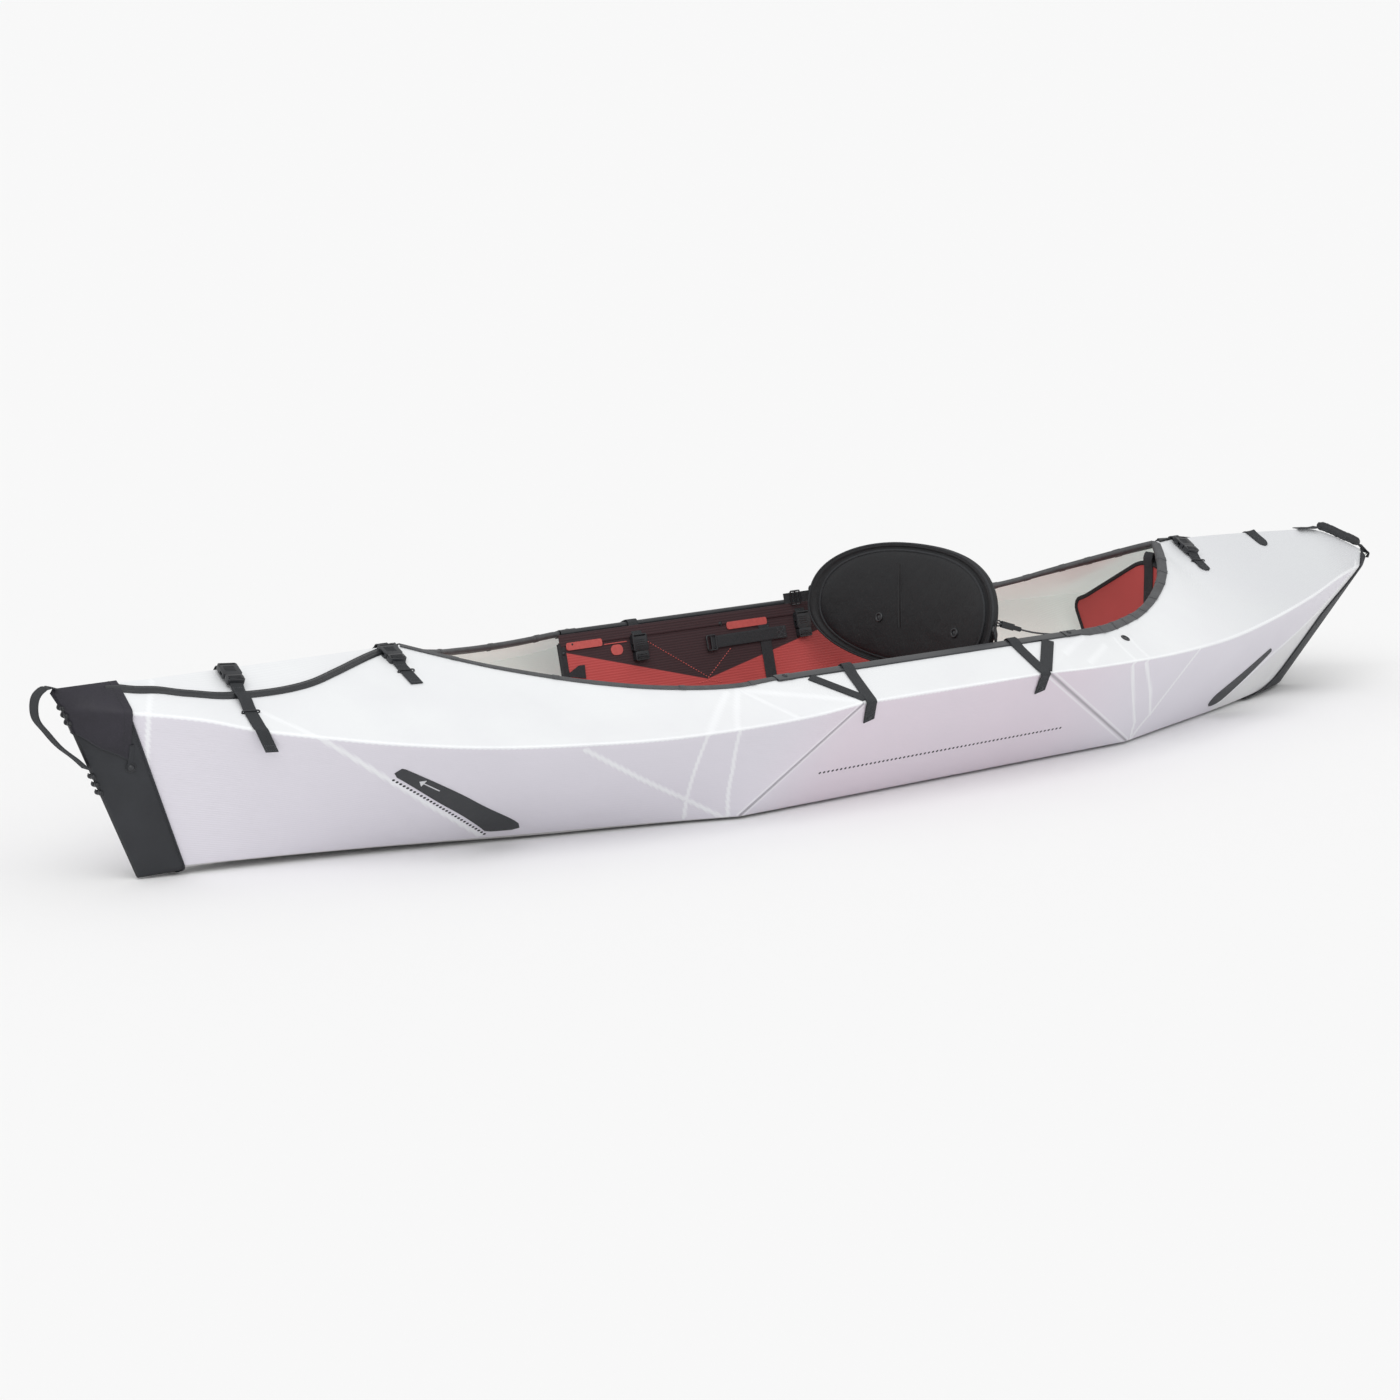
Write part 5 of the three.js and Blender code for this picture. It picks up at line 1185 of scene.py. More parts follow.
# %% [markdown]
# ## Deck straps
# Three straps cross the deck. The far part is stitched down over the ridge and runs to the socket. The
# near part leaves the plug, lies on the deck and ends in a free tail. At the bow it also crosses the
# seam strip and hangs a little way down the side.
# %% Deck straps
narrow, web_thick, web_lift = 0.0218, 0.0018, 0.0012
hump_height, hump_y, hump_width = 0.0062, 0.076, 0.017
stitched = []
strap_plan = {
    "bow_strap": dict(x=-1.150, skew=-0.20, far=0.078, length=0.066, width=narrow, round_end=0.0),
    "cockpit_strap": dict(x=-0.8515, skew=-0.12, far=0.070, length=0.062, width=narrow, round_end=0.0),
    "stern_strap": dict(x=0.928, skew=-0.10, far=0.062, length=0.044, width=0.024, round_end=0.009),
}
for name, plan in strap_plan.items():
    over_seam, strap_body = name == "bow_strap", f"{name}_end"
    marks = buckles[name]
    ahead, across, up = marks["ahead"], marks["across"], marks["up"]
    rows_far = [(ahead * (marks["rear"] + 0.006) + marks["at"], across, up)]
    for t in np.linspace(0.0, 1.0, 8):
        s = plan["far"] * t
        ground, normal = deck_hit(plan["x"] - plan["skew"] * s, s + 0.001)
        lift = web_lift + max(0.0, 0.0035 * (1 - t * 6))
        if plan["x"] > 0 and len(rows_far) < 3:
            ground = ground + along_z * 0.001
        way = -along_x if across[0] < 0 else along_x
        rows_far.append((ground + normal * lift, way, normal))
    far = Ribbon(rows_far, narrow, web_thick)
    lay_ribbon(f"{name}_far_webbing", [far], webbing_finish, "hull", f"{name}_anchor_webbing")
    stitched += far.box_stitch(far.end - 0.022, far.end - 0.004)

    leave = ahead * (marks["end"] - 0.005) + marks["at"]
    rows_near = [(leave, across, up)]
    tail_way = unit([plan["skew"], -1.0, 0])
    for s in np.linspace(0.012, plan["length"], 8):
        x, y, _ = leave + tail_way * s
        ground, normal = deck_hit(x, y)
        rise = hump_height * math.exp(-((abs(y) - hump_y) / hump_width)**2) if over_seam else 0.0
        rows_near.append((ground + normal * (web_lift + rise), across, normal))
    if over_seam:
        for s in np.arange(0.075, 0.2, 0.008):
            x, y, _ = leave + tail_way * s
            if hull_tree.ray_cast(Vector((x, y, 0.6)), -Vector(along_z))[0] is None:
                break
            ground, normal = deck_hit(x, y)
            if abs(normal[2]) < 0.7:
                break
            rows_near.append((ground + normal * web_lift, across, normal))
        hang = rows_near[-1][0] + unit([tail_way[0], tail_way[1], -0.3]) * 0.009
        rows_near.append((hang, across, point(0, -1.0, 0.5)))
        for s in (0.012, 0.026, 0.040):
            rows_near.append((hang + unit([0.50, 0.0, -1.0]) * s, across, point(0, -1.0, 0.1)))
    near = Ribbon(rows_near, plan["width"], web_thick)
    lay_ribbon(f"{name}_near_webbing", [near], webbing_finish, strap_body, f"{name}_webbing",
               round_end=plan["round_end"])
    stitches.grow(f"{name}_tail_stitches", near.box_stitch(near.end - 0.012, near.end - 0.003)[:1]
                  + near.box_stitch(0.014, 0.024)[:1], thread_finish, body=strap_body)
    # A keeper loop holds the free tail
    keeper = near.end * 0.45
    ring = [near.top(keeper, a) + up * 0.0012 for a in (-1.18, 0, 1.18)]
    ring += [near.top(keeper, a) - up * 0.0032 for a in (1.18, -1.18)]
    bars.grow(f"{name}_keeper_loop", [smooth_path(ring + ring[:1], 0.002)[:-1]], moulded_finish,
              (0.0013, 0.0025), strap_body, 1)
print("deck straps", len(strap_plan))

# %% [markdown]
# ## Gunwale straps
# Over each rail lies a strap of two legs that meet on the fold. A short tab runs on down the side and is
# held by a rivet. One leg goes over the rail and down to a buckle inside; the other starts under it.
# %% Gunwale straps
slope_length = math.hypot(rail_height - fold_height, half_beam - rail_half)
rail_face, rail_edge = 0.0036, -0.0067
gunwale_plan = {"front": (fold_top, 0.047, -0.053, 0.011), "rear": (rear_fold_top, 0.007, 0.092, -0.012)}
tab_rivets = []
for side in (LEFT, RIGHT):
    up, outward = topside_ways(side)

    def on_top(x, a, h):
        return point(x, side * rail_half, rail_height) + outward * a + up * h

    def towards_bow_side(way):
        return way if way[0] > 0 else -way

    for end, (top_x, over, under, meet) in gunwale_plan.items():
        fold_x = top_x + meet
        fold_at = on_top(fold_x, slope_length, 0)
        tab_at, tab_normal = side_hit(fold_x + 0.016, fold_height - 0.036, side)
        tab_across = towards_bow_side(unit(np.cross(unit(tab_at - fold_at), tab_normal)))
        tab_end = tab_at + tab_normal * 0.0009
        bend = unit(up + tab_normal)
        fold = fold_at + bend * 0.0016
        marks = buckles[f"{end}_{side_names[side]}_inner"]

        def on_leg(from_x, a, h):
            return on_top(mix(top_x + from_x, fold_x, a / slope_length), a, h)

        slant = towards_bow_side(unit(np.cross(up, unit(fold - on_leg(over, 0.018, 0.0)))))
        edge_x, edge_a = top_x + over, rail_edge - 0.001
        over_leg = Ribbon([
            (marks["ahead"] * (marks["rear"] + 0.004) + marks["at"], along_x, -side * along_y),
            (on_top(edge_x, edge_a, -0.008), along_x, -outward),
            (on_top(edge_x, edge_a, rail_face - 0.004), along_x, -outward),
            (on_top(edge_x, rail_edge + 0.003, rail_face + 0.0006), along_x, up),
            (on_leg(over, 0.008, rail_face + 0.0004), slant, up),
            (on_leg(over, 0.015, 0.0022), slant, up),
            (on_leg(over, 0.030, 0.0012), slant, up),
            (mix(on_leg(over, 0.030, 0.0012), fold, 0.7), slant, up),
            (fold, along_x, bend),
            (mix(fold, tab_end, 0.3) + bend * 0.0003, tab_across, tab_normal),
            (tab_end, tab_across, tab_normal),
        ], narrow, web_thick)
        start = on_leg(under, 0.015, 0.0010)
        slant = towards_bow_side(unit(np.cross(up, unit(fold - start))))
        under_leg = Ribbon([(mix(start, fold, t), slant, up) for t in (0, 0.5, 0.9)], narrow, web_thick)
        lay_ribbon(f"{end}_gunwale_webbing_{side_names[side]}", [over_leg, under_leg], webbing_finish, "hull",
                   f"{end}_gunwale_strap_{side_names[side]}")
        stitched += over_leg.box_stitch(over_leg.end - 0.030, over_leg.end - 0.016)[:1]
        tab_rivets.append((over_leg.top(over_leg.end - 0.009, 0), tab_normal))
heads.grow("gunwale_tab_rivets", tab_rivets, fastener_finish, (0.0034, 0.0016, 0.0042, 0.0006))
print("gunwale straps 4, rivets", len(tab_rivets))

# %% [markdown]
# ## Red boards inside
# The floorboard and the two side boards are red twin-wall sheet. The upper part of each side board has a
# dark cover with a pointed lower edge. Around it come black edge tape, plain label plates, a red stitched
# V, a corner tab and two webbing straps that cross.
# %% Board dressing
for node, finish in (("floorboard", plain_red_finish),
                     ("side_board_left", side_board_finish), ("side_board_right", side_board_finish)):
    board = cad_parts[node]
    board.data.materials.clear()
    board.data.materials.append(finish.material)

board_foot_z, board_top_z = 0.0082, 0.2079
board_foot_half, board_top_half = rear_foot_half - 0.012, rail_half - 0.016


def board_ways(side):
    """Up the board's face and inward from it."""
    rise = unit([0, side * (board_top_half - board_foot_half), board_top_z - board_foot_z])
    return rise, unit([0, -side * rise[2], side * rise[1]])


def on_board(side, lift, *spots):
    """Points over the board's face at places (x, z)."""
    shares = [(z - board_foot_z) / (board_top_z - board_foot_z) for _, z in spots]
    return [point(x, side * mix(board_foot_half, board_top_half, t), z) + board_ways(side)[1] * lift
            for (x, z), t in zip(spots, shares)]


def rounded_plate(center, along, up, out, width, height, radius, thick):
    """A thin plate with round corners and a softened face."""
    rim = []
    for cx, cy, start in ((1, 1, 0), (-1, 1, 90), (-1, -1, 180), (1, -1, 270)):
        for a in (math.radians(start + k * 22.5) for k in range(5)):
            rim.append(((width / 2 - radius) * cx + radius * math.cos(a),
                        (height / 2 - radius) * cy + radius * math.sin(a)))
    points = [center + along * a * keep + up * b * keep + out * rise * thick
              for keep, rise in ((1.0, 0.0), (1.0, 0.6), (0.985, 1.0)) for a, b in rim]
    return points, tube_faces(3, len(rim))


rivet_spots = [(-0.290, 0.190), (-0.270, 0.203), (0.060, 0.203), (0.395, 0.203), (-0.290, 0.03)]
rivets = []
for side in (LEFT, RIGHT):
    name = side_names[side]
    rise, inward = board_ways(side)

    def band(lift, spots, across, width, thickness, step):
        return Ribbon([(p, across, inward) for p in on_board(side, lift, *spots)], width, thickness, step)

    edge = band(0.0004, [(-0.290, z) for z in (0.012, 0.1, 0.206)], along_x, 0.011, 0.0012, 0.01)
    lay_ribbon(f"side_board_edge_tape_{name}", [edge], tape_finish)
    hem = band(0.0006, [(x, 0.2105) for x in (-0.296, 0.05, 0.408)], rise, 0.021, 0.0012, 0.01)
    lay_ribbon(f"side_board_cover_hem_{name}", [hem], side_board_finish)
    bars.grow(f"side_board_front_binding_{name}",
              [on_board(side, -0.0010, *[(-0.2965, z) for z in (0.012, 0.1, 0.206)])], tape_finish,
              (0.0036, 0.01))
    upright = band(0.0010, [(0.157, z) for z in (0.012, 0.1, 0.192)], along_x, 0.025, 0.0016, 0.006)
    level = band(0.0024, ((0.032, 0.1725), (0.09, 0.1735), (0.205, 0.1740)), rise, 0.022, 0.0016, 0.006)
    lay_ribbon(f"side_board_webbing_{name}", [upright, level], webbing_finish)
    stitched += level.box_stitch(level.end - 0.02, level.end - 0.004)
    stitched += upright.box_stitch(upright.end - 0.018, upright.end - 0.004)
    bars.grow(f"side_board_ladder_lock_{name}",
              [on_board(side, 0.0045, (0.022, 0.160), (0.042, 0.160), (0.042, 0.185), (0.022, 0.185)),
               on_board(side, 0.0045, (0.032, 0.160), (0.032, 0.185))], moulded_finish,
              (0.0016, 0.004), closed=1)
    plates = [rounded_plate(on_board(side, 0.0004, (x, z))[0], along_x, rise, inward, *size)
              for x, z, *size in ((-0.244, 0.2000, 0.078, 0.0132, 0.004, 0.0022),
                                  (0.120, 0.1975, 0.092, 0.0132, 0.004, 0.0022),
                                  (-0.175, 0.1838, 0.026, 0.0180, 0.0088, 0.0008),
                                  (-0.176, 0.1955, 0.050, 0.0016, 0.0008, 0.0007))]
    new_piece(f"side_board_labels_{name}", joined(plates), label_finish)
    corner = on_board(side, 0.0004, (-0.290, 0.1515), (-0.284, 0.1570), (-0.262, 0.1668),
                      (-0.2505, 0.1668), (-0.2520, 0.1440))
    tab_points = corner + [p + inward * 0.0022 for p in corner]
    tab = tab_points, tube_faces(2, 5), [(p[0], p[2]) for p in tab_points]
    new_piece(f"side_board_corner_tab_{name}", tab, tape_finish, angle=20)
    vee = [on_board(side, 0.0006, *line)
           for line in (((-0.130, 0.205), (0.016, 0.116)), ((0.016, 0.116), (0.074, 0.158)),
                        ((-0.006, 0.1085), (0.017, 0.1110)), ((0.017, 0.1110), (0.041, 0.1050)))]
    stitches.grow(f"side_board_red_stitching_{name}", vee, red_thread_finish,
                  (0.0058, 0.0036, 0.0017))
    rivets += [(spot, inward) for spot in on_board(side, 0.0018, *rivet_spots)]
heads.grow("side_board_rivets", rivets, fastener_finish, (0.0028, 0.0012, 0.0034, 0.0005))
print("side boards dressed, rivets", len(rivets))

# %% [markdown]
# ## Rear bulkhead
# The rear bulkhead is a red panel with a round black binding, and a webbing handle at its top.
# %% Bulkhead binding and handle
panel_half, corner_reach = 0.0015, 0.062
corners = corner_points("rear_bulkhead")
bulkhead_x = corners[:, 0].min()
flat = np.unique(np.round(corners[np.abs(corners[:, 0] - bulkhead_x) < 1e-4][:, 1:], 5), axis=0)
from_middle = flat - flat.mean(axis=0)
ring = [point(bulkhead_x + panel_half, y, z)
        for y, z in flat[np.argsort(np.arctan2(from_middle[:, 1], from_middle[:, 0]))]]
softened = []
for before, p, after in zip(ring[-1:] + ring[:-1], ring, ring[1:] + ring[:1]):
    reach = min(corner_reach, np.linalg.norm(before - p) * 0.47, np.linalg.norm(after - p) * 0.47)
    a, b = p + unit(before - p) * reach, p + unit(after - p) * reach
    softened += [(1 - t)**2 * a + 2 * t * (1 - t) * p + t**2 * b for t in (0, 0.25, 0.5, 0.75, 1)]
panel = [p + along_x * shift for shift in (-panel_half, panel_half) for p in softened]
new_piece("rear_bulkhead_panel", (panel, tube_faces(2, len(softened))), plain_red_finish, "bulkhead",
          20, "rear_bulkhead")
bars.grow("bulkhead_edge_binding", [softened], tape_finish, (0.0042, 0.006), "bulkhead", 1)
front_x = bulkhead_x - 0.0008
handle = Ribbon([(point(front_x + dx, -0.004, z), along_y, point(*up)) for dx, z, up in (
    (0, 0.183, (-1, 0, 0)), (0, 0.215, (-1, 0, 0)), (0, 0.250, (-1, 0, 0)), (-0.003, 0.270, (-1, 0, 0.3)),
    (0.002, 0.281, (-0.1, 0, 1)), (0.009, 0.276, (0.9, 0, 0.4)), (0.0075, 0.258, (1, 0, 0)),
    (0.0050, 0.235, (1, 0, 0)), (0.0050, 0.205, (1, 0, 0)))], 0.022, 0.0016)
lay_ribbon("bulkhead_handle", [handle], webbing_finish, "bulkhead")
stitches.grow("bulkhead_handle_stitches", handle.box_stitch(0.004, 0.026), thread_finish,
              body="bulkhead")
print("bulkhead outline points", len(ring))

# %% [markdown]
# ## Seat pad and backrest
# Both are foam under a nylon cover. The seat pad is a low crowned cushion with sewn channels. The
# backrest is an oval shell that wraps forward at its sides, with piping around its front, a sunk border,
# a domed face, a sewn middle seam and two eyelets.
# %% Seat pad
def superellipse(count, half_a, half_b, power):
    turns = [2 * math.pi * k / count for k in range(count)]
    return [(half_a * math.copysign(abs(math.cos(t))**power, math.cos(t)),
             half_b * math.copysign(abs(math.sin(t))**power, math.sin(t))) for t in turns]


seat_low, seat_high = (np.array(v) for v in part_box("seat_pad"))
seat_x, seat_size = (seat_low[0] + seat_high[0]) / 2, seat_high - seat_low
seat_rings = [(0.02, 0.0), (0.5, 0.0), (0.95, 0.0), (0.985, 0.08), (1.0, 0.22), (1.0, 0.4), (0.99, 0.56),
              (0.965, 0.72), (0.93, 0.83)] + [(k, 0.83 + 0.17 * (1 - (k / 0.93)**2)**0.6)
                                             for k in np.linspace(0.9, 0.02, 22)]
channels, channel_depth, channel_width = (-0.105, -0.045, 0.015, 0.075, 0.135), 0.0045, 0.0055
outline = superellipse(112, seat_size[0] / 2 - 0.0005, seat_size[1] / 2 - 0.0005, 0.42)
points = []
for keep, rise in seat_rings:
    for a, b in outline:
        x, y, dip = seat_x + a * keep, b * keep, 0.0
        if rise > 0.8:
            sunk = sum(math.exp(-((x - c) / channel_width)**2) for c in channels)
            ripple = 0.0006 * math.sin(x * 210 + 3 * y) * math.sin(y * 170)
            dip = channel_depth * sunk * (keep < 0.94) - ripple
        points.append((x, y, seat_low[2] + rise * (seat_size[2] - 0.0008) - dip))
seat = new_piece("seat_cushion", (points, tube_faces(len(seat_rings), len(outline))), nylon_finish,
                 angle=60, replaces="seat_pad")
welt_z = seat_low[2] + 0.62 * seat_size[2]
bars.grow("seat_cushion_welt", [[point(seat_x + a * 0.999, b * 0.999, welt_z) for a, b in outline[::2]]],
          tape_finish, (0.0018, 0.005), closed=1)
print("seat cushion", seat_size.round(3), "channels", len(channels))

# %% Backrest
back_low, back_high = (np.array(v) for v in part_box("backrest_pad"))
back_x, back_wrap, back_lean, back_thick = 0.294, 0.042, 0.22, 0.026
back_half, back_half_height = rail_half - 0.041, 0.105
back_middle = (back_low[2] + back_high[2]) / 2


def on_back(a, b, rise):
    """A point of the backrest: across, up and out from its wrapped, leaning surface."""
    wrap = back_wrap * (a / back_half)**2
    turn = math.atan(2 * back_wrap * a / back_half**2)
    out = rise * back_thick
    b = b + 0.004 * max(b, 0) / back_half_height
    return point(back_x - wrap + b * back_lean - out * math.cos(turn), a - out * math.sin(turn) * 0.6,
                 back_middle + b)


back_rings = [(0.03, -0.30), (0.3, -0.30), (0.55, -0.29), (0.75, -0.27), (0.9, -0.22), (0.955, -0.15),
              (0.985, -0.02), (1.0, 0.16), (1.0, 0.30), (0.99, 0.42), (0.975, 0.50), (0.955, 0.51),
              (0.945, 0.47), (0.93, 0.42), (0.905, 0.42), (0.89, 0.50), (0.875, 0.62), (0.85, 0.72),
              (0.81, 0.79), (0.74, 0.85), (0.62, 0.91), (0.48, 0.95), (0.34, 0.98), (0.2, 1.0), (0.05, 1.0)]
outline = superellipse(144, back_half - 0.0016, back_half_height - 0.0006, 0.86)
points = []
for keep, rise in back_rings:
    for k, (a, b) in enumerate(outline):
        soft = 0.010 * math.sin(k * 0.37 + keep * 9) * math.sin(k * 0.11 + 1.3)
        points.append(on_back(a * keep, b * keep, rise + soft * (0.3 < keep < 0.92 and rise > 0.5)))
back = new_piece("backrest_cushion", (points, tube_faces(len(back_rings), len(outline))), back_finish,
                 "backrest", 60, "backrest_pad")
bars.grow("backrest_piping", [[on_back(a * keep, b * keep, rise) for a, b in outline]
                              for keep, rise in ((0.988, 0.42), (0.885, 0.56))], tape_finish,
          (0.0024, 0.005), "backrest", 2)
heads.grow("backrest_eyelets", [(on_back(a, -0.022, 0.97), unit([-1, 0, 0.25])) for a in (0.070, -0.136)],
           moulded_finish, (0.0044, 0.0010, 0.0068, 0.0022), "backrest")
cover_seams = [[on_back(0.024 + b * 0.263 + off, b, 1.005) for b in (-0.030, 0.0, 0.035, 0.068)]
               for off in (-0.0045, 0.0045)]
stitches.grow("backrest_seam_stitches", cover_seams, tape_finish, (0.0036, 0.0026, 0.0008),
              "backrest")
print("backrest", (back_high - back_low).round(3), "rings", len(back_rings))

# %% [markdown]
# ## Backrest straps and cords
# A short strap with a small adjuster pulls each side of the backrest forward to the rail. A thin cord
# with a plastic clip holds it from behind.
# %% Straps and cords of the backrest
def node_end(node, rear, reach):
    """The middle of a node's corners within reach of its front or rear end."""
    corners = corner_points(node)
    x = corners[:, 0]
    return corners[x > x.max() - reach if rear else x < x.min() + reach].mean(axis=0)


for side in (LEFT, RIGHT):
    name = side_names[side]
    start, end = (node_end(f"backrest_strap_{name}", rear, 0.009) for rear in (True, False))
    run = unit(end - start)
    up = square_to(side * along_y, run)
    across = unit(np.cross(run, up))
    strap = Ribbon([(mix(start, end, t) - up * 0.0008, across, up) for t in (0, 0.5, 1)], 0.0195, 0.0016,
                   0.003)
    lay_ribbon(f"backrest_webbing_{name}", [strap], webbing_finish, "hull", f"backrest_strap_{name}")
    at = mix(start, end, 0.55) - up * 0.0022
    lock = [[at + run * a * 0.008 + across * b * 0.0125 for a, b in corners]
            for corners in (((-1, -1), (1, -1), (1, 1), (-1, 1)), ((0, -1), (0, 1)))]
    bars.grow(f"backrest_adjuster_{name}", lock, moulded_finish, (0.0016, 0.003), closed=1)

    tie = node_end(f"rear_cord_{name}", False, 0.003) + along_z * 0.009
    hold = node_end(f"rear_cord_{name}", True, 0.003)
    path = smooth_path([tie, mix(tie, hold, 0.5) - along_z * 0.006, hold], 0.004)
    bars.grow(f"rear_cord_line_{name}", [path], thread_finish, (0.0015, 0.004),
              replaces=f"rear_cord_{name}")
    way = unit(path[8] - path[1])
    over = unit(np.cross(way, along_z))
    rise = unit(np.cross(over, way))
    clip = [rounded_plate(path[1] + way * a - over * t / 2, way, rise, over, w, h, 0.0022, t)
            for a, w, h, t in ((0.016, 0.026, 0.0115, 0.0060), (0.036, 0.016, 0.0080, 0.0045))]
    new_piece(f"rear_cord_clip_{name}", joined(clip), moulded_finish)
    hook = [path[0] + way * 0.001 + rise * 0.0048 * math.sin(t) - way * 0.0048 * math.cos(t)
            for t in np.linspace(0, 2 * math.pi, 13)[:-1]]
    bars.grow(f"rear_cord_ring_{name}", [hook], moulded_finish, (0.0013, 0.002), closed=1)
print("backrest straps and cords 2 each")

# %% [markdown]
# ## Bow and stern fairings
# The bow wears a grey neoprene sleeve pulled over the folded end. A second hood layer covers its top and
# is held by a snap stud. The stern has a narrower sleeve along its stem that flares out to the keel.
# Both are thin closed sheets a hair off the hull, and they follow its curves exactly.
# %% Sleeves over the ends
sleeve_gap, sleeve_thick, stern_thick = 0.0007, 0.0018, 0.0015
sleeve_face = sleeve_gap + sleeve_thick
hood_gap = sleeve_face + 0.0003
hood_face = hood_gap + sleeve_thick
bow_forward, stern_back = (-0.92, 0, -0.39), (0.72, 0, -0.69)


def sleeve(name, halves, forward, gap, thick, finish, body, replaces=None, open_low=False):
    """A thin closed sheet over half sections and their mirrors, closed round the stem. Gives its grid
    and the way it looks at each point."""
    grid = []
    for half in halves:
        mirror = half[::-1] * flip_y
        grid.append(np.vstack([half, mirror[1:] if open_low else mirror[1:-1]]))
    rest = np.array(grid)
    count, columns = len(rest) + 1, rest.shape[1]
    if open_low:
        across = np.gradient(rest, axis=1)
    else:
        across = np.roll(rest, -1, axis=1) - np.roll(rest, 1, axis=1)
    normal = np.cross(np.gradient(rest, axis=0), across)
    normal /= np.maximum(np.linalg.norm(normal, axis=2, keepdims=True), 1e-12)
    facing = np.sum(normal * (rest - rest.mean(axis=1)[:, None]), axis=2, keepdims=True)
    normal = np.where(facing < 0, -normal, normal)
    normal = np.vstack([np.broadcast_to(unit(forward), (1, columns, 3)), normal])
    grid = np.vstack([(rest[0] * (1, 0, 1))[None], rest])
    length = walked(grid[:, columns // 3])
    points, uvs = [], []
    for lift in (gap + thick, gap):
        skin = grid + normal * lift
        points += list(skin.reshape(-1, 3))
        uvs += [(length[i], skin[i, j, 2]) for i in range(count) for j in range(columns)]
    layer = count * columns
    faces = grid_faces(count, columns, wrap=not open_low)
    faces += grid_faces(count, columns, layer, flip=True, wrap=not open_low)
    last = (count - 1) * columns
    border = [(last + j, last + (j + 1) % columns) for j in range(columns - 1 if open_low else columns)]
    if open_low:
        border += [(i * columns + j, (i + 1) * columns + j) for i in range(count - 1)
                   for j in (0, columns - 1)]
    faces += [(a, b, layer + b, layer + a) for a, b in border]
    piece = bare_piece(name, points, faces, finish, uvs, 40)
    make_outward(piece.data, welded=True)
    shade_smooth(piece.data, 40)
    place_piece(piece, body, replaces)
    return grid, normal


def bow_corners(foot_share, chine_share, ridge_share):
    return (foot_bow(bow_apex_foot * foot_share), chine_bow(bow_apex_chine * chine_share),
            ridge_bow(ridge_share))


bow_halves, hood_halves = [], []
for q in np.linspace(0, 1, 26)**1.2:
    foot, chine, ridge = bow_corners(0.1315 * q, 0.1265 * q, 0.170 * q)
    bow_halves.append(rounded([foot * along_x, foot, chine, ridge], [4, 16, 12]))
bow_grid, bow_normal = sleeve("bow_fairing_sleeve", bow_halves, bow_forward, sleeve_gap, sleeve_thick,
                              neoprene_finish, "bow_cover", "bow_fairing")
for t in np.linspace(0, 1, 20):
    q = t**1.2
    low = mix(0.870, 0.705, t) + 0.006 * math.sin(math.pi * 3 * t)
    foot, side_top, _ = bow_corners(0.0926 * q, 0.0926 * q, 0)
    _, chine, ridge = bow_corners(0, 0.1340 * q, 0.176 * q)
    hood_halves.append(rounded([mix(foot, side_top, low), chine, ridge], [9, 12]))
hood_grid, hood_normal = sleeve("bow_fairing_hood", hood_halves, bow_forward, hood_gap, sleeve_thick,
                                hood_finish, "bow_cover", open_low=True)
print("bow sleeve", bow_grid.shape, "hood", hood_grid.shape)

# %% Edge welts, stitches and snap of the bow fairing
def lifted(grid, normal, lift, rows, columns):
    """Points of a sleeve's grid, lifted off it."""
    return [p + n * lift for p, n in zip(grid[rows, columns], normal[rows, columns])]


below_edge, fairing_stitch = slice(1, None), (0.0042, 0.0030, 0.0009)
bars.grow("bow_hood_welt", [lifted(hood_grid, hood_normal, hood_gap + sleeve_thick * 0.5, below_edge, j)
                            for j in (0, -1)], neoprene_finish, (0.0014, 0.004), "bow_cover")
bars.grow("bow_fairing_welt", [lifted(bow_grid, bow_normal, sleeve_face + 0.00012, -1, slice(None))],
          neoprene_finish, (0.0016, 0.005), "bow_cover", 1)
sewn = [lifted(hood_grid, hood_normal, hood_face, int(0.93 * (len(hood_grid) - 1)), slice(1, -1))]
sewn += [lifted(hood_grid, hood_normal, hood_face, slice(2, -1), j) for j in (1, -2)]
sewn.append(lifted(bow_grid, bow_normal, sleeve_face, -2, slice(6, len(bow_halves[0]) - 14)))
sewn.append([p * flip_y for p in sewn[-1]])
stitches.grow("bow_fairing_stitches", sewn, tape_finish, fairing_stitch, "bow_cover")


def snap_spot(x, z, side, lift):
    spot, way = side_hit(x, z, side)
    return spot + way * (sleeve_face + lift), way


heads.grow("bow_fairing_snaps", [snap_spot(-1.337, 0.177, side, 0.0004) for side in (LEFT, RIGHT)],
           moulded_finish, (0.0066, 0.0058, 0.0070, 0.0013), "bow_cover")
tongues = []
for side in (LEFT, RIGHT):
    spots = [snap_spot(x, z, side, 0.0002)
             for x, z in ((-1.339, 0.214), (-1.338, 0.200), (-1.3375, 0.186), (-1.337, 0.172))]
    tongues.append(Ribbon([(spot, along_x, way) for spot, way in spots], 0.0125, 0.0014, 0.003))
lay_ribbon("bow_fairing_snap_tongues", tongues, neoprene_finish, "bow_cover", None, 0.006)
studs = []
for z in (0.274, 0.262, 0.250, 0.164, 0.151, 0.138):
    stem_x = np.interp(z, (0, 0.270, depth), (stem_foot, stem_chine, stem_top))
    for side in (LEFT, RIGHT):
        studs.append((point(stem_x - 0.0042, side * 0.0052, z), unit((-0.92, 0.25 * side, -0.39))))
heads.grow("grab_loop_studs", studs, moulded_finish, (0.0040, 0.0032, 0.0042, 0.0008), "bow_cover")
print("bow fairing dressed, studs", len(studs))

# %% Stern sleeve
def within(value, low=0, high=1):
    return min(max(value, low), high)


def stern_share(height, reach):
    """How far along the stern the sleeve reaches at a height between keel and deck."""
    top = within((height - 0.62) / 0.38)
    wide = 0.15 + 0.09 * (1 - height)**1.5 + 0.24 * (1 - height)**22
    return 1 - reach * mix(wide, 0.0278, top * top * (3 - 2 * top))


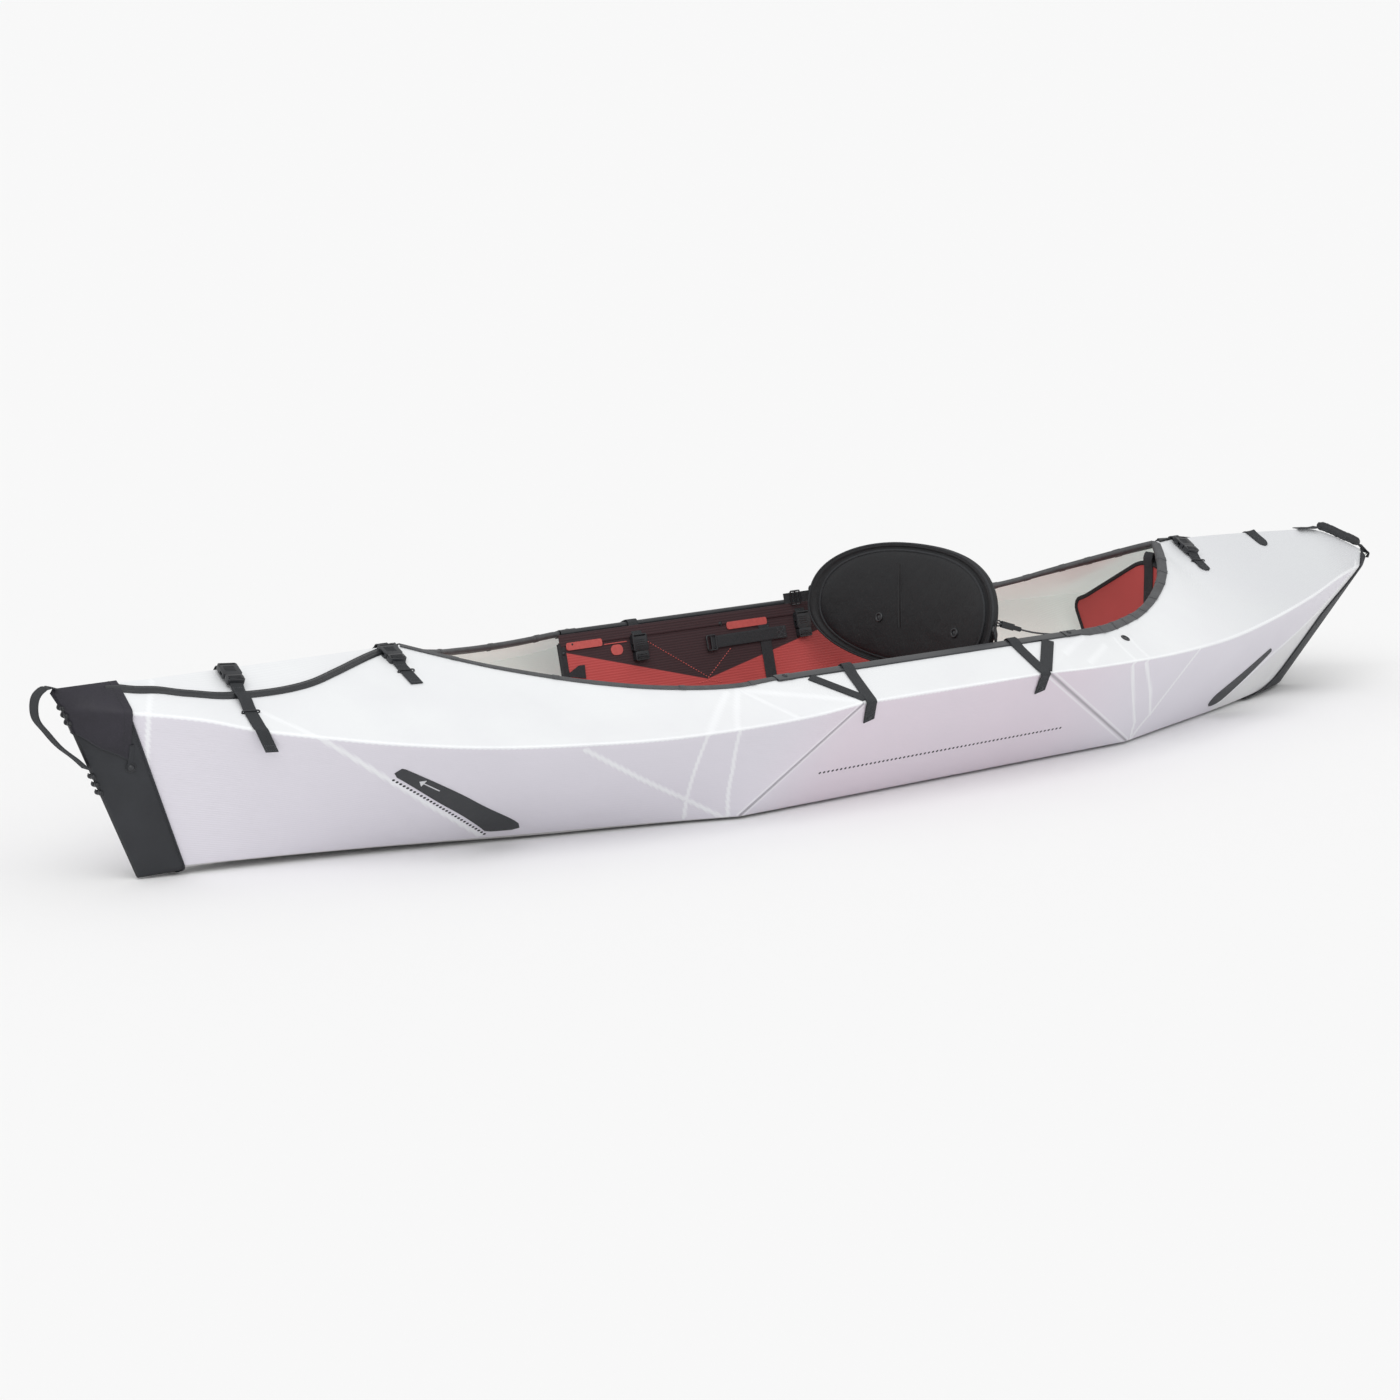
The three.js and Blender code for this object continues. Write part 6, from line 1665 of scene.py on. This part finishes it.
stern_halves = []
for reach in np.linspace(0, 1, 44)**1.15:
    top_share = stern_share(1.0, reach)
    chine = chine_stern(mix(stern_apex_chine, 1, top_share))
    foot = foot_stern(mix(stern_apex_foot, 1, stern_share(0.0, reach)))
    ring = rounded([foot * along_x, foot, chine, ridge_stern(top_share)], [4, 60, 8])
    for k, p in enumerate(ring):
        height = p[2] / max(chine[2], 1e-6)
        if height < 0.98 and k > 6:
            share = stern_share(height, reach)
            low = foot_stern(mix(stern_apex_foot, 1, share))
            high = chine_stern(mix(stern_apex_chine, 1, share))
            ring[k] = mix(low, high, within((p[2] - low[2]) / (high[2] - low[2])))
    stern_halves.append(ring)
stern_face = sleeve_gap + stern_thick
stern_grid, stern_normal = sleeve("stern_fairing_sleeve", stern_halves, stern_back, sleeve_gap, stern_thick,
                                  neoprene_finish, "stern_cover", "stern_fairing")
bars.grow("stern_fairing_welt", [lifted(stern_grid, stern_normal, stern_face, -1, slice(None))],
          neoprene_finish, (0.0013, 0.005), "stern_cover", 1)
seam = lifted(stern_grid, stern_normal, stern_face, -3, slice(10, 58))
stitches.grow("stern_fairing_stitches", [seam, [p * flip_y for p in seam]], tape_finish,
              fairing_stitch, "stern_cover")
print("stern sleeve", stern_grid.shape)

# %% [markdown]
# ## Grab loop and stern handle
# A webbing loop hangs from the bow stem and swings on its top end. The stern handle is a padded fabric
# roll with a sewn flap, held by webbing at both ends.
# %% Grab loop
loop_chine, loop_long, loop_deep = point(-1.430, 0, 0.270), 0.099, 0.048
loop_down, loop_ahead = point(0.4076, 0, -0.913), point(-0.913, 0, -0.4076)
loop_shares = [(-0.376, -0.028), (-0.481, 0.3), (-0.425, 0.74), (-0.161, 1), (0.143, 0.86), (0.45, 0.664),
               (0.767, 0.335), (1, 0.136)]
loop_run = smooth_path([loop_chine + loop_down * s * loop_long + loop_ahead * r * loop_deep
                        for s, r in loop_shares], 0.006)
loop_rows = []
for i, p in enumerate(loop_run):
    way = unit(loop_run[min(i + 1, len(loop_run) - 1)] - loop_run[max(i - 1, 0)])
    out = point(way[2], 0, -way[0])
    if np.dot(out, loop_ahead) < 0 and i > 2:
        out = -out
    loop_rows.append([p, along_y, out])
if np.dot(loop_rows[0][2], loop_rows[4][2]) < 0:
    for row in loop_rows[:3]:
        row[2] = -row[2]
loop_band = Ribbon([(p - out * 0.0009, across, out) for p, across, out in loop_rows], 0.0245, 0.0018)
lay_ribbon("bow_grab_loop_webbing", [loop_band], webbing_finish, "grab_loop", "bow_grab_loop")
stitches.grow("grab_loop_stitches", loop_band.edge_stitch(0.8), tape_finish,
              (0.0036, 0.0026, 0.0008), "grab_loop")
print("grab loop length", round(float(loop_band.end), 3))

# %% Stern handle
grip_low, grip_high = (np.array(v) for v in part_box("stern_handle_grip"))
grip_from, grip_to = grip_low[0] + 0.0026, grip_high[0] - 0.0026
grip_count, ring_count, grip_radius = 44, 36, 0.0083


def over_ridge(x, lift):
    """A point over the stern deck's ridge."""
    return point(x, 0, ridge_stern(within((x - stern_apex) / (tail_top - stern_apex)))[2] + lift)


grip_shares = [k / grip_count for k in range(grip_count + 1)]
grip_line = [over_ridge(mix(grip_from, grip_to, t), 0.0099 + 0.0006 * math.sin(t * math.pi * 3))
             for t in grip_shares]
points, uvs = [], []
for k, (t, center) in enumerate(zip(grip_shares, grip_line)):
    way = unit(grip_line[min(k + 1, grip_count)] - grip_line[max(k - 1, 0)])
    end = min(min(t, 1 - t) * 2 / 0.16, 1)
    for a in (2 * math.pi * j / ring_count for j in range(ring_count)):
        fold = 0.0005 * math.sin(a * 3 + t * 9) * math.sin(t * 22) + 0.0004 * math.sin(t * 60 + a)
        flap = 0.0007 if 0.9 < a < 2.5 else 0.0
        r = min(grip_radius * (0.55 + 0.45 * end**0.5) + fold - 0.0004 + flap, 0.0086)
        points.append(center + along_y * r * math.cos(a) + unit([-way[2], 0, way[0]]) * r * math.sin(a))
        uvs.append((t * 0.119, a / (2 * math.pi) * 0.054))
new_piece("stern_handle_roll", (points, tube_faces(grip_count + 1, ring_count), uvs), nylon_finish,
          "stern_handle", 50, "stern_handle_grip")
flap_edges = [[center + point(0, grip_radius * math.cos(a), 0.0088 * math.sin(a))
               for center in grip_line[3:-3]] for a in (0.86, 2.54)]
stitches.grow("stern_handle_stitches", flap_edges, tape_finish, (0.0038, 0.0028, 0.0008),
              "stern_handle")
front_rows = [(over_ridge(x, lift), along_y, (0.1, 0, 1.0)) for x, lift in
              ((1.256, 0.0010), (1.280, 0.0011), (1.298, 0.0020), (1.312, 0.0058))]
front_web = Ribbon(front_rows, 0.020, 0.0016, 0.004)
tip_z = ridge_stern(1)[2]
rear_rows = [(over_ridge(1.4345, 0.0075), along_y, (0.35, 0, 1)),
             (over_ridge(1.4430, 0.0046), along_y, (0.45, 0, 1))]
rear_rows += [(point(x, 0, tip_z + lift), along_y, up) for x, lift, up in (
    (1.4515, 0.0030, (0.6, 0, 0.8)), (1.4572, -0.0008, (0.9, 0, 0.2)), (1.4566, -0.0048, (0.9, 0, -0.4)),
    (1.4540, -0.0092, (0.83, 0, -0.55)))]
rear_web = Ribbon(rear_rows, 0.012, 0.0014, 0.002)
lay_ribbon("stern_handle_webbing", [front_web, rear_web], webbing_finish)
stitched += front_web.box_stitch(0.003, 0.022)
print("stern handle", round(grip_to - grip_from, 3))

# %% [markdown]
# ## Printed patches, dots and grommets
# Grey patches with a plain arrow and dotted fold lines are printed on the sides, and a round grommet sits
# behind the cockpit on each side. The patches are thin raised sheets with a soft edge in low light.
# %% Patches, arrow and dots
def side_patch(outline, side, lift, thick, spans=26, layers=7):
    """A thin sheet on the hull side between two long edges, given in (x, z)."""
    edges = [smooth_path([(a, b, 0) for a, b in line], 0.004) for line in outline]
    points = []
    for level in (lift, lift + thick):
        for t in np.linspace(0, 1, spans + 1):
            a, b = (np.array([np.interp(t, np.linspace(0, 1, len(edge)), edge[:, k]) for k in range(2)])
                    for edge in edges)
            for s in np.linspace(0, 1, layers):
                spot, way = side_hit(*mix(a, b, s), side)
                points.append(spot + way * level)
    layer = (spans + 1) * layers
    faces = grid_faces(spans + 1, layers) + grid_faces(spans + 1, layers, layer, flip=True)
    border = [(i * layers + j, (i + 1) * layers + j) for i in range(spans) for j in (0, layers - 1)]
    border += [(i * layers + j, i * layers + j + 1) for j in range(layers - 1) for i in (0, spans)]
    return points, faces + [(a, b, layer + b, layer + a) for a, b in border]


bow_patch = (((-0.9758, 0.1465), (-0.9752, 0.1508), (-0.9722, 0.1540), (-0.9670, 0.1540), (-0.9600, 0.1512),
              (-0.865, 0.104), (-0.797, 0.068), (-0.746, 0.043), (-0.7235, 0.0305), (-0.7165, 0.0245),
              (-0.7150, 0.0205)),
             ((-0.9758, 0.1465), (-0.9745, 0.1425), (-0.9700, 0.1390), (-0.9600, 0.1335), (-0.885, 0.088),
              (-0.830, 0.057), (-0.784, 0.0290), (-0.7720, 0.0205), (-0.7600, 0.0182), (-0.7220, 0.0178),
              (-0.7150, 0.0205)))
stern_patch = (((0.868, 0.0205), (0.8690, 0.0260), (0.8740, 0.0335), (0.886, 0.0410), (0.960, 0.0715),
                (1.030, 0.1005), (1.044, 0.1015), (1.052, 0.0955)),
               ((0.868, 0.0205), (0.8740, 0.0160), (0.8860, 0.0145), (0.910, 0.0165), (0.932, 0.0245),
                (0.990, 0.0560), (1.046, 0.0900), (1.052, 0.0955)))
arrow_shaft = (((-0.923, 0.1250), (-0.892, 0.1092)), ((-0.9235, 0.1238), (-0.8925, 0.1080)))
arrow_head = (((-0.9325, 0.1290), (-0.9220, 0.1298)), ((-0.9325, 0.1290), (-0.9250, 0.1195)))
patches = [side_patch(outline, side, 0.0002, 0.0006)
           for side in (LEFT, RIGHT) for outline in (bow_patch, stern_patch)]
arrows = [side_patch(shape, side, 0.0009, 0.0003, 6, 3)
          for side in (LEFT, RIGHT) for shape in (arrow_shaft, arrow_head)]
new_piece("side_patches", joined(patches), patch_finish, angle=30)
new_piece("patch_arrows", joined(arrows), mark_finish, angle=30)

dot_rows = (((-0.971, 0.1335), (-0.767, 0.0135), 30), ((-0.199, 0.059), (0.365, 0.060), 60))
dots = [side_hit(mix(start[0], end[0], t), mix(start[1], end[1], t), side)
        for side in (LEFT, RIGHT) for start, end, count in dot_rows for t in np.linspace(0, 1, count)]
heads.grow("fold_line_dots", dots, dot_finish, (0.0025, 0.0005, 0.0018, 0.0003))
heads.grow("deck_grommets", [deck_hit(0.514, side * 0.283) for side in (LEFT, RIGHT)], moulded_finish,
           (0.0052, 0.0010, 0.0068, 0.0019))
print("patches", len(patches), "dots", len(dots))

# %% Stern tab strap
tab_rows = []
for y in np.linspace(0.038, -0.034, 14):
    spot, way = deck_hit(mix(1.118, 1.137, (0.038 - y) / 0.072), y)
    tab_rows.append((spot + along_z * (0.0007 + 0.0012 * math.exp(-(y / 0.008)**2)),
                     np.cross(way, (0.019, -0.072, 0)), way))
tab_band = Ribbon(tab_rows, 0.0265, 0.0019, 0.002)
lay_ribbon("stern_tab_strap", [tab_band], webbing_finish, round_end=0.013)
stitched += tab_band.box_stitch(tab_band.end - 0.030, tab_band.end - 0.014, 0.6)
stitches.grow("sewn_boxes", stitched, thread_finish)
print("stitched paths", len(stitched))
